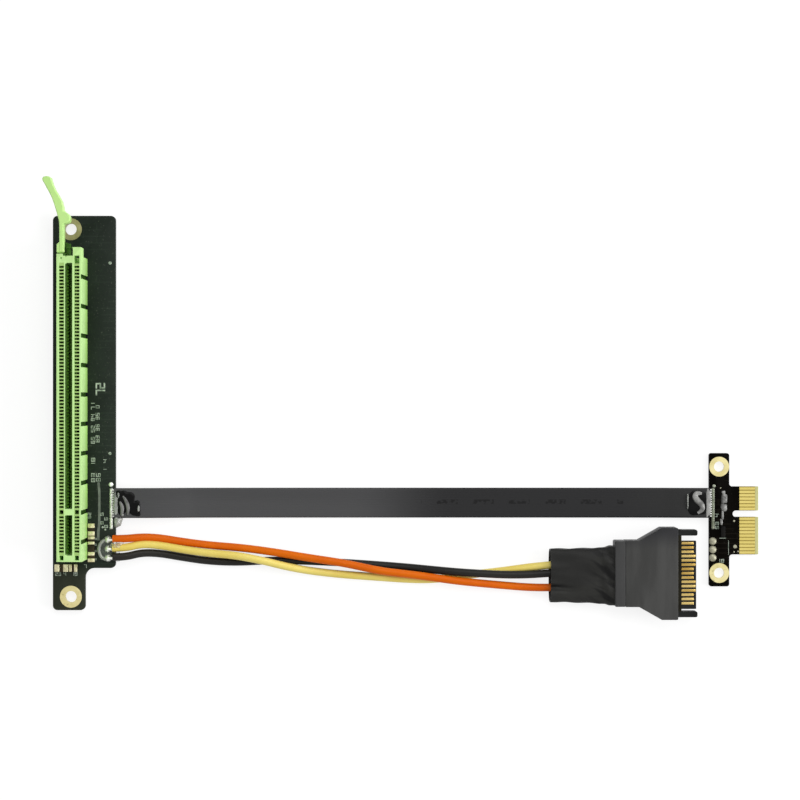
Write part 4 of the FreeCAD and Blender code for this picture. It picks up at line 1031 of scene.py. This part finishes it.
def bead(points, z, width):
    # A bead along a smooth line: a low oval profile that thins out at both ends
    line = curvePoints(smoothCurve("beadLine", [(x, y, z) for x, y in points], 0)) / mm
    share = np.linspace(0.0, 1.0, len(line))[:, None]
    swell = (np.clip(np.sin(np.pi * np.clip(share, 0.02, 0.98)), 0, 1) ** 0.28)[:, :, None]
    turn = np.linspace(0, 2 * np.pi, 16, endpoint=False)
    profile = np.column_stack([width * np.cos(turn), 0.55 * width * np.sin(turn)])[None, :, :] * swell
    along = np.gradient(line, axis=0)
    along /= np.linalg.norm(along, axis=1, keepdims=True)
    side = np.cross(along, [0.0, 0.0, 1.0])
    rings = line[:, None, :] + side[:, None, :] * profile[:, :, :1] + np.array([0.0, 0.0, 1.0]) * profile[:, :, 1:]
    return shell(poled(rings))


def addPatch(name, patch, node):
    z = patch["top"] - patch["sunk"]
    seal = [blob(x, y, z, reachX, reachY, height, wobble=wobble, seed=seed, power=6.0)
            for x, y, reachX, reachY, height, wobble, seed in patch["seal"]]
    drops = [blob(x, y, z, reachX, reachY, 0.5, wobble=0.08, seed=x) for x, y, reachX, reachY in patch["drops"]]
    glue(name, seal, sealant, (node,))
    glue(name + "Beads", [bead(line, patch["top"] + patch["lifted"], patch["beadWidth"]) for line in patch["beads"]],
         patch["beadFinish"])
    glue(name + "Drops", drops, milkyGlue)


highlightArc = {
    "x": 10.75, "y": -40.5, "z": 1.9, "reachX": 2.4, "reachY": 2.9, "wave": 0.15, "thick": 0.52,
    "from": 0.58 * np.pi, "to": 1.5 * np.pi, "rows": 70, "sides": 20,
}


def glueHighlightArc():
    # Glue round the power joints: a pale bead carried along an arc that is open to the wires; its paleness is a painted
    # highlight, the crescent that the clear glue dome reflects
    turn = np.linspace(highlightArc["from"], highlightArc["to"], highlightArc["rows"])
    path = np.column_stack([
        highlightArc["x"] + highlightArc["reachX"] * np.cos(turn), highlightArc["y"] + highlightArc["reachY"] * np.sin(turn),
        highlightArc["z"] + highlightArc["wave"] * np.sin(3 * turn),
    ])
    around = np.linspace(0, 2 * np.pi, highlightArc["sides"], endpoint=False)
    return carried(path, highlightArc["thick"] * np.column_stack([np.cos(around), np.sin(around)]))


addPatch("glueRibbonSlot", slotPatch, "glue_ribbon_slot")
addPatch("glueRibbonCard", cardPatch, "glue_ribbon_card")
glue("glueSkirtSlot", [blob(13.45, -26.9, 2.45, 0.75, 4.6, 0.42, wobble=0.05, seed=2.1, power=3.0),
                       blob(13.9, -32.0, 1.45, 1.15, 1.9, 0.8, wobble=0.1, seed=0.3, power=2.5, skirt=1.4)], milkyGlue)
glue("glueSkirtCard", [blob(189.1, -26.7, 1.45, 0.75, 4.3, 0.28, wobble=0.05, seed=1.1, power=3.0)], greyBead)
glue("gluePowerHighlightArc", [glueHighlightArc()], milkyGlue)
glue("gluePowerDrops", [blob(13.9, -39.3, 2.75, 1.9, 1.9, 1.25, wobble=0.12, seed=1.3, power=2.5),
                        blob(13.6, -42.6, 1.9, 1.0, 1.5, 1.2, wobble=0.12, seed=2.2, power=2.5)], clearGlue)
glue("gluePowerPool", [blob(10.5, -40.45, 1.6, 2.4, 3.1, 0.6, wobble=0.04, seed=0.4, dip=0.35)], poolGlue,
     ("glue_power_joint",))
# Grey streak of glue on the card, its grey in part a painted highlight of the light in the wavy glue
glue("glueStreak", [
    blob(194.0, -25.5, 0.4, 0.85, 1.6, 0.55, wobble=0.08, seed=0.9), blob(193.9, -28.1, 0.4, 0.9, 1.15, 0.5, seed=2.6),
    blob(193.5, -30.4, 0.4, 0.35, 1.5, 0.3, seed=1.2), blob(193.15, -32.4, 0.4, 0.4, 0.9, 0.25, seed=3.0),
    blob(193.8, -23.6, 0.4, 0.5, 0.5, 0.2, seed=1.9),
], greyBead)


print("stage 8: printed marks and vias")
slotPrint = {
    # Rows of plain figures: x, y, the figures with gaps between their groups, height and width
    "z": 1.6, "rise": 0.025, "turned": (
        (9.95, 5.45, (7, 2), 2.4, 1.25), (7.0, -9.0, (6, 5, None, 5, 2, None, 8, 4, None, 7, 1), 0.95, 0.7),
        (8.4, -8.6, (8, 3, None, 3, 6, None, 9, 5, None, 0), 0.95, 0.7), (7.1, -20.4, (8, 3, None, 1, 8), 1.0, 0.95),
        (10.6, -17.6, (1, None, 4), 0.9, 0.9), (8.7, -20.2, (8, 6), 1.1, 0.85), (10.9, -34.0, (8, None, 6), 0.9, 0.7),
        (9.6, -33.0, (9, None, 5), 0.8, 0.8), (5.9, -31.2, (6, 2), 0.8, 0.6), (7.6, -37.6, (8,), 0.5, 0.5),
        (7.6, -39.3, (8,), 0.5, 0.5), (7.6, -41.2, (8,), 0.5, 0.5), (7.6, -43.6, (8,), 0.5, 0.5),
    ),
    "upright": ((-4.6, -48.2, (2, 3), 0.95, 0.6), (-2.1, -48.2, (4,), 0.95, 0.6), (0.3, -48.2, (1, 9), 0.95, 0.6),
                (4.0, -45.9, (7,), 0.9, 0.6)),
    "dots": ((9.4, -33.9, 0.32, 0.05), (10.2, -34.6, 0.28, 0.05), (11.6, 44.5, 0.5, 0.06), (11.6, -12.0, 0.45, 0.06)),
    "bars": (),
}
cardPrint = {
    "z": 0.4, "rise": 0.025, "turned": ((192.3, -34.4, (5, 3, None, 4), 0.85, 0.75),),
    "upright": ((191.9, -44.4, (1, 8), 0.9, 0.75),), "dots": (),
    "bars": ((195.2, 195.32, -42.2, -37.8), (192.6, 194.5, -37.3, -37.1)),
    "vias": ((196.9, -32.1, 0.3, 0.1), (197.2, -39.7, 0.55, 0.1), (198.1, -41.15, 0.24, 0.08),
             (196.9, -41.3, 0.22, 0.08), (192.9, -22.3, 0.2, 0.06)),
}
outlineBar = {
    "x": 8.15, "fromY": -20.6, "length": 17.2, "half": 0.36, "reach": 0.35, "rows": 60,
    # Share of the length, sharpness and size of the two bends
    "bends": ((0.08, 18, 0.35), (0.78, -14, 0.45)),
}
# Strokes of a plain figure in a box of one by one: foot, middle and head bars, then the two
# lower and the two upper uprights
strokes = ((0, 1, 0, 0), (0, 1, 0.5, 0.5), (0, 1, 1, 1), (0, 0, 0, 0.5), (1, 1, 0, 0.5), (0, 0, 0.5, 1), (1, 1, 0.5, 1))
penShare, figureStep, strokeStep = 0.09, 1.6, 0.004
figures = {
    None: (), 0: (0, 2, 3, 4, 5, 6), 1: (4, 6), 2: (0, 1, 2, 3, 6), 3: (0, 1, 2, 4, 6), 4: (1, 4, 5, 6),
    5: (0, 1, 2, 4, 5), 6: (0, 1, 2, 3, 4, 5), 7: (2, 4, 6), 8: (0, 1, 2, 3, 4, 5, 6), 9: (0, 1, 2, 4, 5, 6),
}


def figureRow(board, turned, x, y, numbers, tall, wide):
    # Plain figures out of thin plates: turned ones stand along X and read up the board. Strokes
    # that overlap lie at slightly different heights, so no two faces coincide
    shells = []
    pen = tall * penShare
    for place, number in enumerate(numbers):
        for index in figures[number]:
            u0, u1, v0, v1 = strokes[index]
            foot = place * wide * figureStep
            along = (foot + u0 * wide - pen, foot + u1 * wide + pen)
            up = (v0 * tall - pen, v1 * tall + pen)
            crown = board["z"] + board["rise"] + index * strokeStep
            if turned:
                shells.append(plate(x - up[1], x - up[0], y + along[0], y + along[1], board["z"], crown))
            else:
                shells.append(plate(x + along[0], x + along[1], y + up[0], y + up[1], board["z"], crown))
    return shells


def discs(board, key):
    return [disc(x, y, board["z"], radius, height) for x, y, radius, height in board[key]]


def boardMarks(board):
    shells = [plate(*bar, board["z"], board["z"] + board["rise"]) for bar in board["bars"]]
    for key in ("turned", "upright"):
        for row in board[key]:
            shells += figureRow(board, key == "turned", *row)
    return shells + discs(board, "dots")


def outlineMark():
    # The pale outline that bends round the ribbon's pads: a flat bar carried along a bent line
    along = np.linspace(0.0, 1.0, outlineBar["rows"])
    bend = sum(size * np.tanh((along - middle) * sharpness) for middle, sharpness, size in outlineBar["bends"])
    path = np.column_stack([outlineBar["x"] + outlineBar["reach"] * bend,
                            outlineBar["fromY"] - outlineBar["length"] * along,
                            np.full(outlineBar["rows"], slotPrint["z"])])
    half = outlineBar["half"]
    rise = slotPrint["rise"]
    return carried(path, np.array([[-half, 0.0], [half, 0.0], [half, rise], [-half, rise]]))


makePiece("slotBoardPrint", boardMarks(slotPrint), printFinish, sharpAngle=0.4)
makePiece("slotBoardOutline", [outlineMark()], faintPrint, sharpAngle=0.4)
makePiece("edgeCardPrint", boardMarks(cardPrint), printFinish, sharpAngle=0.4)
makePiece("edgeCardVias", discs(cardPrint, "vias"), dullSolder)
